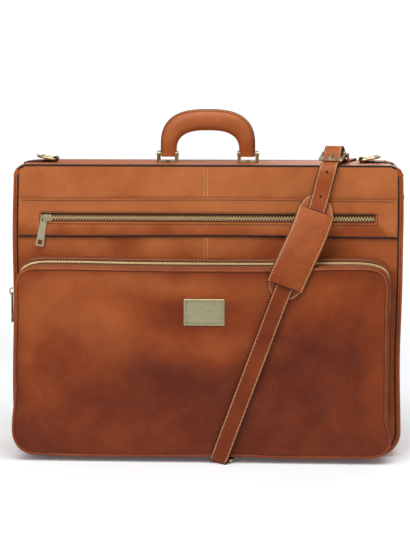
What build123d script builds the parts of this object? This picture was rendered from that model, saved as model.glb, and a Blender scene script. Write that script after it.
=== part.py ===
from build123d import *
from math import atan2, cos, radians, sin
import os

os.makedirs("parts", exist_ok=True)

# Leather garment bag, folded in two over its spine and standing on its free ends.
# X runs along the width, Y from the front to the back, Z up, in millimetres.
# The origin is the middle of the footprint, on the resting face of the rear half.

# Case
case_width = 580.0
case_depth = 124.0
half_height = 430.4
bottom_radius = 38.0
top_radius = 14.0
leather = 2.6
band_width = 9.0
band_thickness = 1.6
lining = 1.2

# Spine, and the two fold lines under its edges
spine_low = 431.0
spine_board = 2.4
spine_top = spine_low + spine_board + leather
spine_width = 564.0

# Zips: a groove between two leather edges, with two rows of teeth on their tapes
groove = 11.0
row_gap = 1.6
row_width = 2.4
teeth_thickness = 2.8
tape_thickness = 0.8
tape_width = 11.0
case_zip_y = -8.0
case_chain_inset = 3.1

# Horizontal zip pocket across the front half
overlay_low, overlay_high = 328.6, 381.9
overlay_thickness = 2.4
slot_left, slot_right = -244.4, 248.0
slot_low, slot_high = 351.1, 362.4

# Bellows pocket on the front half
pocket_box = (-280.0, 274.0, 13.0, 289.0)
pocket_radii = (32.0, 40.0)
pocket_depth = 50.0
pocket_zip_y = -86.0
pocket_zip_end = 236.0
pocket_chain_inset = 2.9
piping = 2.0

# Handle
handle_width = 142.0
handle_leg = 20.0
handle_top = 515.8
handle_grip_low = 484.5
handle_foot = 444.4
handle_depth = 23.0
pin_height = 448.5
pin_radius = 2.4
running_fit = 0.06

# Shoulder strap
strap_width = 27.0
strap = 3.0
strap_lean = 20.3
strap_foot = (22.0, 8.0)
strap_yaw = 15.0

half_depth = case_depth / 2
half_width = case_width / 2
case_box = (-half_width, half_width, 0.0, half_height)
case_radii = (bottom_radius, top_radius)
pocket_front = -half_depth - pocket_depth
band_front = -half_depth - band_thickness


def save(piece, label):
    """Names a finished piece and writes it as its own file."""
    piece.part.label = label
    export_step(piece.part, f"parts/{label}.step")


def facing_front(y):
    """Plane at depth y with X across, Z as its second axis, and its normal to the front."""
    return Plane(origin=(0, y, 0), x_dir=(1, 0, 0), z_dir=(0, -1, 0))


def side_of(frame):
    """Plane through a frame's own X and Z, for side profiles."""
    return Plane(origin=frame.origin, x_dir=frame.x_dir, z_dir=-frame.y_dir)


def panel_outline(box, radii, inset=0.0):
    """Rectangle with one radius on its lower corners and one on its upper corners."""
    left, right, low, high = box
    with BuildSketch(mode=Mode.PRIVATE) as outline:
        with Locations(((left + right) / 2, (low + high) / 2)):
            Rectangle(right - left - 2 * inset, high - low - 2 * inset)
        fillet(outline.vertices().group_by(Axis.Y)[0], radii[0] - inset)
        fillet(outline.vertices().group_by(Axis.Y)[-1], radii[1] - inset)
    return outline.sketch


def window(left, right, low, high):
    """Cuts a rectangle, given by its edges, out of the sketch being drawn."""
    with Locations(((left + right) / 2, (low + high) / 2)):
        Rectangle(right - left, high - low, mode=Mode.SUBTRACT)


def plate(outline, front, back, holes=()):
    """Flat panel between two depths, with rectangular holes."""
    with BuildPart() as panel:
        with BuildSketch(facing_front(front)):
            add(outline)
            for hole in holes:
                window(*hole)
        extrude(amount=front - back)
    return panel


def rim(box, radii, front, back, outer_inset, inner_inset, cuts):
    """Strip that runs round an outline between two depths, less the stretches cut away."""
    outer = panel_outline(box, radii, outer_inset)
    inner = panel_outline(box, radii, inner_inset)
    with BuildPart() as strip:
        with BuildSketch(facing_front(front)):
            add(outer)
            add(inner, mode=Mode.SUBTRACT)
            for cut in cuts:
                window(*cut)
        extrude(amount=front - back)
    return strip


def both(first, second):
    """Two pieces of one kind, kept as separate solids in one node."""
    with BuildPart() as pair:
        add(first.part)
        add(second.part)
    return pair


# ---------------------------------------------------------------- the two halves

# The spine closes the top, so every strip of a half stops at the top corners.
open_top = [(-half_width + top_radius, half_width - top_radius, half_height - 12, half_height + 1)]
zip_slot = (-250.0, 254.0, 343.0, 370.0)
with BuildSketch() as case_face:
    add(panel_outline(case_box, case_radii, leather))
    with Locations((0, half_height - 10)):
        Rectangle(case_width - 2 * top_radius, 20)
case_outline = case_face.sketch
lining_outline = panel_outline(case_box, case_radii, 7.2)


def case_rim(front, back, outer_inset, inner_inset):
    return rim(case_box, case_radii, front, back, outer_inset, inner_inset, open_top)


def folded_gusset(edge, face, outside):
    """Gusset from its zip edge out to the panel, whose edge it wraps with a flat band."""
    front, back = sorted((edge, outside))
    band_low, band_high = sorted((face, outside))
    with BuildPart() as strip:
        add(case_rim(front, back, 0, leather).part)
        add(case_rim(band_low, band_high, 0, band_width).part)
    return strip


save(plate(case_outline, half_depth - leather, half_depth), "rear_panel")
save(folded_gusset(case_zip_y + groove / 2, half_depth, half_depth + band_thickness), "rear_gusset")
save(plate(case_outline, -half_depth, -half_depth + leather, [zip_slot]), "front_panel")
save(folded_gusset(case_zip_y - groove / 2, -half_depth, band_front), "front_gusset")

# Tapes lie under the leather edges, and each row of teeth stands on its tape's edge.
tape_insets = (case_chain_inset - tape_thickness / 2, case_chain_inset + tape_thickness / 2)
teeth_insets = (case_chain_inset - teeth_thickness / 2, case_chain_inset + teeth_thickness / 2)
row_near = row_gap / 2
row_far = row_near + row_width
tape_far = row_far + tape_width
save(case_rim(case_zip_y + row_far, case_zip_y + tape_far, *tape_insets), "rear_zip_tape")
save(case_rim(case_zip_y + row_near, case_zip_y + row_far, *teeth_insets), "rear_zip_teeth")
save(case_rim(case_zip_y - tape_far, case_zip_y - row_far, *tape_insets), "front_zip_tape")
save(case_rim(case_zip_y - row_far, case_zip_y - row_near, *teeth_insets), "front_zip_teeth")

# Linings stand off the front panel so that the zip slider runs behind it.
rear_lining_front = half_depth - leather - lining
front_lining_front = -57.2
save(plate(lining_outline, rear_lining_front, rear_lining_front + lining), "rear_lining")
save(plate(lining_outline, front_lining_front, front_lining_front + lining), "front_lining")

# Leather tabs cover the upper ends of the case zip, on the rear half's side of the groove.
with BuildPart() as zip_end_tabs:
    with BuildSketch(Plane.YZ.offset(half_width)):
        with Locations((2.5, 409.0)):
            RectangleRounded(13.0, 22.0, 3.0)
    extrude(amount=1.6)
    mirror(about=Plane.YZ)
save(zip_end_tabs, "zip_end_tabs")

# Two straps across the rear lining hold the clothes, each with a flat buckle.
garment_strap_heights = (165.0, 300.0)
garment_strap_front = rear_lining_front - 2.0
garment_buckle_x = 60.0
buckle_thickness = 2.2
with BuildPart() as garment_straps:
    with BuildSketch(facing_front(garment_strap_front)):
        with Locations(*[(0, height) for height in garment_strap_heights]):
            Rectangle(500.0, 26.0)
    extrude(amount=-2.0)
save(garment_straps, "garment_straps")

with BuildPart() as garment_buckles:
    with BuildSketch(facing_front(garment_strap_front - buckle_thickness)):
        for height in garment_strap_heights:
            with Locations((garment_buckle_x, height)):
                RectangleRounded(38.0, 34.0, 4.0)
            with Locations((garment_buckle_x - 8.5, height), (garment_buckle_x + 8.5, height)):
                Rectangle(12.0, 27.0, mode=Mode.SUBTRACT)
    extrude(amount=-buckle_thickness)
save(garment_buckles, "garment_strap_buckles")

# Hanger bracket near the free end of the rear half: a plate with two lugs for the bail.
bracket_z = 70.0
bail_y = 51.0
bail_wire = 2.0
bail_half = 24.0
bail_top = bracket_z + 42.0
lug_inner = bail_half + bail_wire + 0.4
with BuildPart() as hanger_bracket:
    with BuildSketch(facing_front(rear_lining_front - 1.8)):
        with Locations((0, bracket_z)):
            RectangleRounded(82.0, 30.0, 5.0)
    extrude(amount=-1.8)
    for side in (-1, 1):
        with BuildSketch(Plane.YZ.offset(side * lug_inner)):
            with Locations((bail_y, bracket_z)):
                Circle(4.6)
            with Locations(((bail_y + rear_lining_front) / 2, bracket_z)):
                Rectangle(rear_lining_front - bail_y, 9.2)
            with Locations((bail_y, bracket_z)):
                Circle(bail_wire + running_fit, mode=Mode.SUBTRACT)
        extrude(amount=side * 3.0)
save(hanger_bracket, "hanger_bracket")

with BuildPart() as hanger_bail:
    with BuildLine(facing_front(bail_y)) as bail_path:
        FilletPolyline(
            (-bail_half, bracket_z + 6), (-bail_half, bail_top),
            (bail_half, bail_top), (bail_half, bracket_z + 6), radius=12,
        )
    with BuildSketch(Plane(origin=bail_path.line @ 0, z_dir=bail_path.line % 0)):
        Circle(bail_wire)
    sweep(path=bail_path.line)
    for side in (-1, 1):
        with BuildSketch(facing_front(bail_y)):
            with Locations((side * bail_half, bracket_z + 3)):
                Rectangle(2 * bail_wire, 6 + 2 * bail_wire)
        extrude(amount=bail_wire, both=True)
        with BuildSketch(Plane.YZ.offset(side * (bail_half - bail_wire))):
            with Locations((bail_y, bracket_z)):
                Circle(bail_wire)
        extrude(amount=side * (2 * bail_wire + 3.4))
save(hanger_bail, "hanger_bail")

with BuildPart() as hanger_rivets:
    with BuildSketch(facing_front(rear_lining_front - 1.8)):
        with Locations((-36, bracket_z), (36, bracket_z)):
            Circle(3.2)
    extrude(amount=1.4)
    chamfer(hanger_rivets.faces().sort_by(Axis.Y)[:2].edges(), 0.7)
save(hanger_rivets, "hanger_rivets")

# ---------------------------------------------------------------- spine

with BuildPart() as spine_stiffener:
    with BuildSketch(Plane.XY.offset(spine_low)):
        Rectangle(spine_width - 8, case_depth - 4)
    extrude(amount=spine_board)
save(spine_stiffener, "spine_stiffener")

with BuildPart() as spine_leather:
    with BuildSketch(Plane.XY.offset(spine_low + spine_board)):
        RectangleRounded(spine_width, case_depth, 3)
    extrude(amount=leather)
    chamfer(spine_leather.faces().sort_by(Axis.Z)[-1].edges(), 1.2)
save(spine_leather, "spine_leather")

# ---------------------------------------------------------------- carrying handle

leg_x = (handle_width - handle_leg) / 2
ear = 5.0
ear_gap = 22.0
base_length, base_depth, base_thickness = ear_gap + 2 * ear, 24.0, 1.8
base_top = spine_top + base_thickness

with BuildPart() as handle_brackets:
    with BuildSketch(Plane.XY.offset(spine_top)):
        with Locations((-leg_x, 0), (leg_x, 0)):
            RectangleRounded(base_length, base_depth, 3)
    extrude(amount=base_thickness)
    for side in (-1, 1):
        for ear_side in (-1, 1):
            with BuildSketch(Plane.YZ.offset(side * leg_x + ear_side * ear_gap / 2)):
                with Locations((0, pin_height)):
                    Circle(5.0)
                with Locations((0, (base_top + pin_height) / 2)):
                    Rectangle(10.0, pin_height - base_top)
                with Locations((0, pin_height)):
                    Circle(pin_radius + running_fit, mode=Mode.SUBTRACT)
            extrude(amount=ear_side * ear)
save(handle_brackets, "handle_brackets")

with BuildPart() as handle_rivets:
    with BuildSketch(Plane.XY.offset(base_top)):
        with Locations(*[(side * leg_x, y) for side in (-1, 1) for y in (-8.5, 8.5)]):
            Circle(2.4)
    extrude(amount=0.9)
save(handle_rivets, "handle_rivets")

with BuildPart() as backing_plates:
    with BuildSketch(Plane.XY.offset(spine_low)):
        with Locations((-leg_x, 0), (leg_x, 0)):
            RectangleRounded(base_length, base_depth, 3)
    extrude(amount=-1.4)
save(backing_plates, "handle_backing_plates")

# The pins turn with the handle, inside the ears of the brackets.
with BuildPart() as handle_pins:
    for side in (-1, 1):
        with BuildSketch(Plane.YZ.offset(side * leg_x - base_length / 2 - 0.8)):
            with Locations((0, pin_height)):
                Circle(pin_radius)
        extrude(amount=base_length + 1.6)
save(handle_pins, "handle_pins")

core_outer_x, core_outer_z = leg_x + 3.0, 503.0
core_inner_x, core_inner_z = leg_x - 3.0, 497.0
core_foot = handle_foot + 1.6
with BuildPart() as handle_core:
    with BuildSketch(facing_front(0)):
        with BuildLine():
            outer = FilletPolyline(
                (-core_outer_x, core_foot), (-core_outer_x, core_outer_z),
                (core_outer_x, core_outer_z), (core_outer_x, core_foot), radius=44,
            )
            inner = FilletPolyline(
                (-core_inner_x, core_foot), (-core_inner_x, core_inner_z),
                (core_inner_x, core_inner_z), (core_inner_x, core_foot), radius=38,
            )
            Line(outer @ 0, inner @ 0)
            Line(outer @ 1, inner @ 1)
        make_face()
    extrude(amount=4.0, both=True)
    add(handle_pins.part, mode=Mode.SUBTRACT)
save(handle_core, "handle_core")

with BuildPart() as handle_grip:
    with BuildSketch(facing_front(0)):
        with BuildLine():
            edge = handle_width / 2
            inner_edge = edge - handle_leg
            outer = FilletPolyline(
                (-edge, handle_foot), (-edge, handle_top),
                (edge, handle_top), (edge, handle_foot), radius=50,
            )
            inner = FilletPolyline(
                (-inner_edge, handle_foot), (-inner_edge, handle_grip_low),
                (inner_edge, handle_grip_low), (inner_edge, handle_foot), radius=26,
            )
            Line(outer @ 0, inner @ 0)
            Line(outer @ 1, inner @ 1)
        make_face()
    extrude(amount=handle_depth / 2, both=True)
    # The legs narrow to their feet, so that they clear the bracket when the handle lies down.
    with BuildSketch(Plane.YZ):
        with BuildLine():
            Polyline(
                (-7, handle_foot), (-handle_depth / 2, 474), (-handle_depth / 2, 520),
                (handle_depth / 2, 520), (handle_depth / 2, 474), (7, handle_foot), close=True,
            )
        make_face()
    extrude(amount=80, both=True, mode=Mode.INTERSECT)
    fillet(handle_grip.faces().filter_by(Axis.Z).sort_by(Axis.Z)[-1].edges().filter_by(Axis.X), 7)
    add(handle_core.part, mode=Mode.SUBTRACT)
    add(handle_pins.part, mode=Mode.SUBTRACT)
save(handle_grip, "handle_grip")

# ---------------------------------------------------------------- D-rings on their tabs

ring_x = 232.0
ring_z = 440.5
ring_wire = 2.0
ring_half = 14.0
ring_reach = 27.0
ring_rise = 10.0
tab_width = 23.0
tab_thickness = 2.2
tab_end = spine_width / 2 - 1.0

with BuildPart() as d_ring_tabs:
    with BuildSketch(facing_front(0)):
        for side in (-1, 1):
            with Locations((side * (ring_x + tab_end) / 2, spine_top + tab_thickness / 2)):
                Rectangle(tab_end - ring_x, tab_thickness)
        with Locations((-ring_x, ring_z), (ring_x, ring_z)):
            Circle(ring_z - spine_top)
            Circle(ring_wire + 0.3, mode=Mode.SUBTRACT)
    extrude(amount=tab_width / 2, both=True)
save(d_ring_tabs, "d_ring_tabs")

for side, word in ((-1, "left"), (1, "right")):
    rise = radians(ring_rise)
    ring_plane = Plane(
        origin=(side * ring_x, 0, ring_z),
        x_dir=(side * cos(rise), 0, sin(rise)),
        z_dir=(-side * sin(rise), 0, cos(rise)),
    )
    with BuildPart() as d_ring:
        with BuildLine(ring_plane) as ring_path:
            FilletPolyline(
                (0, ring_half), (ring_reach, ring_half), (ring_reach, -ring_half), (0, -ring_half),
                radius=(3, 13, 13, 3), close=True,
            )
        with BuildSketch(Plane(origin=ring_path.line @ 0, z_dir=ring_path.line % 0)):
            Circle(ring_wire)
        sweep(path=ring_path.line)
    save(d_ring, f"d_ring_{word}")

# ---------------------------------------------------------------- zip sliders and pulls

wing = 1.6
wing_gap = 0.3
wing_low = teeth_thickness / 2 + wing_gap
wing_top = wing_low + wing
bridge_x = 4.7
low_bridge = wing_top + 5.8
tall_bridge = wing_top + 10.0


def slider(frame, post_x, bridge_top=low_bridge):
    """Slider on a frame whose origin is the chain, X the travel and Z the outside."""
    with BuildPart() as piece:
        with BuildSketch(frame.offset(wing_low)):
            RectangleRounded(14, 10, 3)
        extrude(amount=wing)
        with BuildSketch(frame.offset(-wing_top - 0.6)):
            RectangleRounded(12, 9, 3)
        extrude(amount=wing)
        with BuildSketch(frame.offset(-wing_low - 0.7)):
            with Locations((post_x, 0)):
                Rectangle(2.6, 1.0)
        extrude(amount=2 * wing_low + 1.2)
        with BuildSketch(side_of(frame)):
            with BuildLine():
                FilletPolyline(
                    (-bridge_x, wing_top - 0.2), (-bridge_x, bridge_top - 0.8),
                    (bridge_x, bridge_top - 0.8), (bridge_x, wing_top - 0.2), radius=3,
                )
            trace(line_width=1.6)
        extrude(amount=1.2, both=True)
    return piece


def pull(frame, window_start, window_width):
    """Pull on a frame whose origin is its pivot, X the way it hangs and Z the outside."""
    top = window_start - 1.8
    with BuildPart() as piece:
        with BuildSketch(frame.offset(-0.8)):
            with BuildLine():
                Polyline((top, -4.5), (top, 4.5), (43, 6.2), (43, -6.2), close=True)
            make_face()
            window(window_start, window_start + 6.8, -window_width / 2, window_width / 2)
            window(33.5, 40.5, -3.2, 3.2)
        extrude(amount=1.6)
    return piece


# A pull's pivot stands this far out from the chain, and this far below the middle of its slider.
pull_lift = wing_top + 1.2
pull_drop = 2.6
pocket_pull_lift = wing_top + 6.0

upper_chain_y = -half_depth + tape_thickness / 2
upper_chain_z = (slot_low + slot_high) / 2
upper_slider_x = -236.0
upper_zip = Plane(
    origin=(upper_slider_x, upper_chain_y, upper_chain_z), x_dir=(1, 0, 0), z_dir=(0, -1, 0),
)
save(slider(upper_zip, -5.2), "upper_zip_slider")
hang = radians(10)
upper_pivot = Plane(
    origin=(upper_slider_x - bridge_x, upper_chain_y - pull_lift, upper_chain_z),
    x_dir=(-sin(hang), 0, -cos(hang)), z_dir=(0, -1, 0),
)
save(pull(upper_pivot, -1.7, 5.4), "upper_zip_pull")

case_slider_z = 385.0
case_zip = Plane(
    origin=(half_width - case_chain_inset, case_zip_y, case_slider_z), x_dir=(0, 0, 1), z_dir=(1, 0, 0),
)
save(slider(case_zip, 5.2), "case_zip_slider")
case_pivot = Plane(
    origin=(half_width - case_chain_inset + pull_lift, case_zip_y, case_slider_z - pull_drop),
    x_dir=(0, 0, -1), z_dir=(1, 0, 0),
)
save(pull(case_pivot, 0.9, 4.8), "case_zip_pull")

pocket_left, pocket_right, pocket_low, pocket_high = pocket_box
corner_z = pocket_high - pocket_radii[1]
pocket_zip = Plane(
    origin=(pocket_left + pocket_chain_inset, pocket_zip_y, corner_z),
    x_dir=(0, 0, 1), z_dir=(-1, 0, 0),
)
save(slider(pocket_zip, -5.2, tall_bridge), "pocket_zip_slider")
pocket_pivot = Plane(
    origin=(pocket_left + pocket_chain_inset - pocket_pull_lift, pocket_zip_y, corner_z - pull_drop),
    x_dir=(0, 0, -1), z_dir=(-1, 0, 0),
)
save(pull(pocket_pivot, 0.9, 4.8), "pocket_zip_pull")

# ---------------------------------------------------------------- horizontal zip pocket

overlay_edge = half_width - band_width - 0.3
with BuildPart() as zip_pocket_panel:
    with BuildSketch(facing_front(-half_depth - overlay_thickness)):
        with Locations((0, (overlay_low + overlay_high) / 2)):
            Rectangle(2 * overlay_edge, overlay_high - overlay_low)
        window(slot_left, slot_right, slot_low, slot_high)
    extrude(amount=-overlay_thickness)
save(zip_pocket_panel, "zip_pocket_panel")


def straight_strips(left, right, near, far, front, back):
    """The same strip above and below the upper chain."""
    with BuildPart() as strips:
        with BuildSketch(facing_front(front)):
            for side in (-1, 1):
                with Locations(((left + right) / 2, upper_chain_z + side * (near + far) / 2)):
                    Rectangle(right - left, far - near)
        extrude(amount=front - back)
    return strips


upper_tape_front = upper_chain_y - tape_thickness / 2
upper_teeth_front = upper_chain_y - teeth_thickness / 2
upper_tape = straight_strips(
    slot_left - 4.6, slot_right + 5.0, row_far, row_far + 9,
    upper_tape_front, upper_tape_front + tape_thickness,
)
save(upper_tape, "upper_zip_tape")
upper_teeth = straight_strips(
    slot_left, slot_right, row_near, row_far,
    upper_teeth_front, upper_teeth_front + teeth_thickness,
)
save(upper_teeth, "upper_zip_teeth")

# The pocket's fabric pouch lies flat and empty behind the front lining.
pouch_outline = panel_outline((-230.0, 234.0, 205.0, 372.0), (14.0, 4.0))
save(plate(pouch_outline, front_lining_front + lining, front_lining_front + lining + 2.2), "zip_pocket_pouch")

# ---------------------------------------------------------------- bellows pocket

pocket_outline = panel_outline(pocket_box, pocket_radii)
save(plate(pocket_outline, pocket_front, pocket_front + leather), "pocket_panel")

below_zip = [(pocket_left - 1, pocket_right + 1, pocket_zip_end, pocket_high + 1)]
above_end = [(pocket_left - 1, pocket_right + 1, pocket_low - 1, pocket_zip_end)]
pocket_back = -half_depth - band_thickness - 0.2


def pocket_rim(front, back, outer_inset, inner_inset, cuts):
    return rim(pocket_box, pocket_radii, front, back, outer_inset, inner_inset, cuts)


gusset = 2.4
save(pocket_rim(pocket_front + leather, pocket_back, 0, gusset, below_zip), "pocket_gusset")
save(
    both(
        pocket_rim(pocket_front + leather, pocket_zip_y - groove / 2, 0, gusset, above_end),
        pocket_rim(pocket_zip_y + groove / 2, pocket_back, 0, gusset, above_end),
    ),
    "pocket_zip_strips",
)
pocket_tape = (pocket_chain_inset - tape_thickness / 2, pocket_chain_inset + tape_thickness / 2)
pocket_teeth = (pocket_chain_inset - teeth_thickness / 2, pocket_chain_inset + teeth_thickness / 2)
save(
    both(
        pocket_rim(pocket_zip_y - tape_far, pocket_zip_y - row_far, *pocket_tape, above_end),
        pocket_rim(pocket_zip_y + row_far, pocket_zip_y + tape_far, *pocket_tape, above_end),
    ),
    "pocket_zip_tape",
)
save(
    both(
        pocket_rim(pocket_zip_y - row_far, pocket_zip_y - row_near, *pocket_teeth, above_end),
        pocket_rim(pocket_zip_y + row_near, pocket_zip_y + row_far, *pocket_teeth, above_end),
    ),
    "pocket_zip_teeth",
)
save(rim(pocket_box, pocket_radii, pocket_front - piping, pocket_front, 0, 3.5, []), "pocket_piping")

plaque_width, plaque_height, plaque_z = 60.0, 39.0, 223.8
with BuildPart() as name_plaque:
    with BuildSketch(facing_front(pocket_front - 1.6)):
        with Locations((0, plaque_z)):
            RectangleRounded(plaque_width, plaque_height, 1.5)
    extrude(amount=-1.6)
    chamfer(name_plaque.faces().sort_by(Axis.Y)[0].edges(), 0.5)
save(name_plaque, "blank_plaque")

with BuildPart() as plaque_pins:
    with BuildSketch(facing_front(pocket_front - 2.1)):
        with Locations(*[(x, plaque_z + z) for x in (-25.5, 25.5) for z in (-15, 15)]):
            Circle(1.5)
    extrude(amount=-0.5)
save(plaque_pins, "plaque_pins")

# ---------------------------------------------------------------- shoulder strap, front run

lean = radians(strap_lean)
strap_plane = Plane(
    origin=(strap_foot[0], 0, strap_foot[1]),
    x_dir=(sin(lean), 0, cos(lean)), z_dir=(cos(lean), 0, -sin(lean)),
)
# The run lies on the pocket, slopes to the case above it, and ends short of the spine. Each point
# is a distance up the strap, and how far the strap stands there in front of the case's middle.
over_pocket, over_case = 119.0, 66.3
slope_start, slope_end = 306.0, 418.0
strap_line = [
    (8.0, over_pocket), (slope_start, over_pocket), (slope_end, over_case), (443.0, over_case),
]
with BuildPart() as strap_front:
    with BuildSketch(strap_plane):
        with BuildLine():
            FilletPolyline(*strap_line, radius=12)
        trace(line_width=strap)
    extrude(amount=strap_width / 2, both=True)

# The shoulder pad follows the strap over the pocket's edge: a base behind it, a cover before it.
pad_slope = (over_case - over_pocket) / (slope_end - slope_start)


def pad_line(start, end, lift):
    """Line at a given lift from the strap's middle, from start to end along the strap."""
    height = over_pocket + lift
    return [(start, height), (slope_start, height), (end, height + pad_slope * (end - slope_start))]


pad_layer = 2.5
pad_lift = 3.4
pad_base_width, pad_cover_width = 48.0, 51.0
cover_start, cover_end = 264.5, 381.5
with BuildPart() as pad_base:
    with BuildSketch(strap_plane):
        with BuildLine():
            FilletPolyline(*pad_line(247, 400, -pad_lift), radius=12)
        trace(line_width=pad_layer)
    extrude(amount=pad_base_width / 2, both=True)
save(pad_base, "shoulder_pad_base")

with BuildPart() as pad_cover:
    with BuildSketch(strap_plane):
        with BuildLine():
            FilletPolyline(*pad_line(cover_start, cover_end, pad_lift), radius=12)
        trace(line_width=pad_layer)
    extrude(amount=pad_cover_width / 2, both=True)
    # Its sides are sewn down to the base, outside the strap.
    for side in (-1, 1):
        with BuildSketch(strap_plane.offset(side * 15)):
            with BuildLine():
                FilletPolyline(*pad_line(cover_start, cover_end, 0.5), radius=12)
            trace(line_width=4.4)
        extrude(amount=side * 9)
save(pad_cover, "shoulder_pad_cover")

# ---------------------------------------------------------------- shoulder strap over the spine

yaw = radians(strap_yaw)
crossing = Vector(182, -half_depth, 0)
along = Vector(sin(yaw), cos(yaw), 0)
across = Vector(cos(yaw), -sin(yaw), 0)
crossing_plane = Plane(origin=crossing, x_dir=along, z_dir=across)
rear_bar = (31.0, 453.0)
front_bar = (9.0, 444.5)
bar_radius = 2.0
buckle_tilt = atan2(rear_bar[1] - front_bar[1], rear_bar[0] - front_bar[0])
buckle_x = along * -cos(buckle_tilt) + Vector(0, 0, -sin(buckle_tilt))
buckle_z = along * -sin(buckle_tilt) + Vector(0, 0, cos(buckle_tilt))
rear_bar_middle = crossing + along * rear_bar[0] + Vector(0, 0, rear_bar[1])
buckle_plane = Plane(origin=rear_bar_middle, x_dir=buckle_x, z_dir=buckle_z)
buckle_side = side_of(buckle_plane)

with BuildPart() as strap_tip:
    with BuildSketch(crossing_plane):
        with BuildLine():
            FilletPolyline(
                (4.5, 438.3), (13.5, 440.6), (25.5, 458.6), (36, 461.2), (50, 449.5), (66, 444.8),
                radius=(3, 3, 5, 4),
            )
        trace(line_width=strap)
    extrude(amount=strap_width / 2, both=True)
    # Slot for the prong
    with BuildSketch(buckle_side):
        with BuildLine():
            Polyline((-1, 0.8), (22, 0.8), (22, 8), (-1, 5), close=True)
        make_face()
    extrude(amount=2.4, both=True, mode=Mode.SUBTRACT)
save(strap_tip, "shoulder_strap_tip")

with BuildPart() as strap_top:
    with BuildSketch(crossing_plane):
        with Locations(rear_bar):
            Circle(4.4)
        with BuildLine():
            FilletPolyline(
                (31, 449.7), (40, 446.2), (56, 439.8), (70, 438), (123, 438), radius=(6, 8, 10),
            )
        trace(line_width=strap)
        with Locations(rear_bar):
            Circle(bar_radius + 0.2, mode=Mode.SUBTRACT)
    extrude(amount=strap_width / 2, both=True)
    with BuildSketch(crossing_plane):
        with Locations((30.6, 453.4)):
            Rectangle(10.4, 10.4)
    extrude(amount=2.3, both=True, mode=Mode.SUBTRACT)
save(strap_top, "shoulder_strap_top")

bar_gap = ((rear_bar[0] - front_bar[0]) ** 2 + (rear_bar[1] - front_bar[1]) ** 2) ** 0.5
with BuildPart() as buckle_frame:
    with BuildSketch(buckle_plane.offset(-1.5)):
        with Locations(((bar_gap + 1.5) / 2, 0)):
            RectangleRounded(bar_gap + 5.5, 36, 2.5)
        window(-6, bar_gap - 3.5, -15, 15)
    extrude(amount=3)
    with BuildSketch(Plane(origin=rear_bar_middle, x_dir=buckle_plane.x_dir, z_dir=buckle_plane.y_dir)):
        Circle(bar_radius)
    extrude(amount=16.5, both=True)
save(buckle_frame, "buckle_frame")

with BuildPart() as buckle_prong:
    with BuildSketch(buckle_side):
        Circle(3.8)
        with Locations(((bar_gap + 3) / 2, 2.8)):
            Rectangle(bar_gap + 3, 2.2)
        Circle(bar_radius + running_fit, mode=Mode.SUBTRACT)
    extrude(amount=1.6, both=True)
save(buckle_prong, "buckle_prong")

keeper_low, keeper_high, keeper_wall = 436.1, 451.3, 0.9
keeper_plane = Plane(origin=crossing + along * 55, x_dir=-across, z_dir=along)
with BuildPart() as strap_keeper:
    with BuildSketch(keeper_plane):
        with Locations((0, (keeper_low + keeper_high) / 2)):
            RectangleRounded(strap_width + 4, keeper_high - keeper_low, 2)
        window(-14.2, 14.2, keeper_low + keeper_wall, keeper_high - keeper_wall)
    extrude(amount=10)
save(strap_keeper, "strap_keeper")

# ---------------------------------------------------------------- snap hooks

eye_wire = 3.5
collar = 4.2
stem = 1.8
hook_tip = 44.2
gate_pin = (26.6, 5.5)


def across_at(frame, distance):
    """Plane square to a frame's X, at a distance along it."""
    return Plane(origin=frame.origin + frame.x_dir * distance, x_dir=frame.y_dir, z_dir=frame.x_dir)


def hook_eye(frame):
    """D-shaped eye for the strap, with a collar for the swivel, X towards the hook."""
    with BuildPart() as piece:
        with BuildSketch(frame):
            with BuildLine():
                FilletPolyline(
                    (0, 15), (6, 15), (12, 6), (12, -6), (6, -15), (0, -15), radius=2.4, close=True,
                )
            trace(line_width=eye_wire)
        extrude(amount=eye_wire / 2, both=True)
        with BuildSketch(across_at(frame, 10)):
            Circle(collar)
        extrude(amount=5)
        with BuildSketch(across_at(frame, 8)):
            Circle(stem + running_fit)
        extrude(amount=9, mode=Mode.SUBTRACT)
    return piece


def hook_body(frame):
    """Hook with its swivel stem through the eye's collar, and a fork for the gate."""
    with BuildPart() as piece:
        for start, radius, length in ((7.6, 3.0, 2.0), (9.6, stem, 5.8), (15.3, collar, 2.4)):
            with BuildSketch(across_at(frame, start)):
                Circle(radius)
            extrude(amount=length)
        with BuildSketch(frame):
            with Locations((20.5, 0)):
                Rectangle(7, 10)
            with Locations(((21 + hook_tip) / 2, 0)):
                RectangleRounded(hook_tip - 21, 14, 5)
            window(24.6, hook_tip - 2.8, -4.2, 4.2)
            window(24.0, hook_tip - 3.8, 2, 8)
        extrude(amount=1.6, both=True)
        for level in (-1, 1):
            with BuildSketch(frame.offset(level * 1.6)):
                with Locations((24.0, 2.9)):
                    Rectangle(8, 7.4)
                with Locations((28.0, 5.5)):
                    Circle(1.1)
            extrude(amount=level * 1.0)
        with BuildSketch(frame.offset(-2.0)):
            with Locations(gate_pin):
                Circle(0.8)
        extrude(amount=4)
    return piece


def hook_gate(frame):
    """Gate that swings into the hook, on a pin at its neck end."""
    with BuildPart() as piece:
        with BuildSketch(frame.offset(-1.2)):
            with Locations(gate_pin):
                Circle(1.7)
            with Locations((33.4, gate_pin[1])):
                Rectangle(13.4, 2.6)
            with Locations(gate_pin):
                Circle(0.8 + running_fit, mode=Mode.SUBTRACT)
        extrude(amount=2.4)
    return piece


def end_loop(frame, back):
    """Folded leather end that holds the eye's straight bar."""
    with BuildPart() as piece:
        with BuildSketch(side_of(frame)):
            Circle(3.9)
            with Locations((-back / 2, 0)):
                Rectangle(back, 6.0)
            Circle(eye_wire * 0.72, mode=Mode.SUBTRACT)
        extrude(amount=strap_width / 2 - 0.5, both=True)
    return piece


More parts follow.
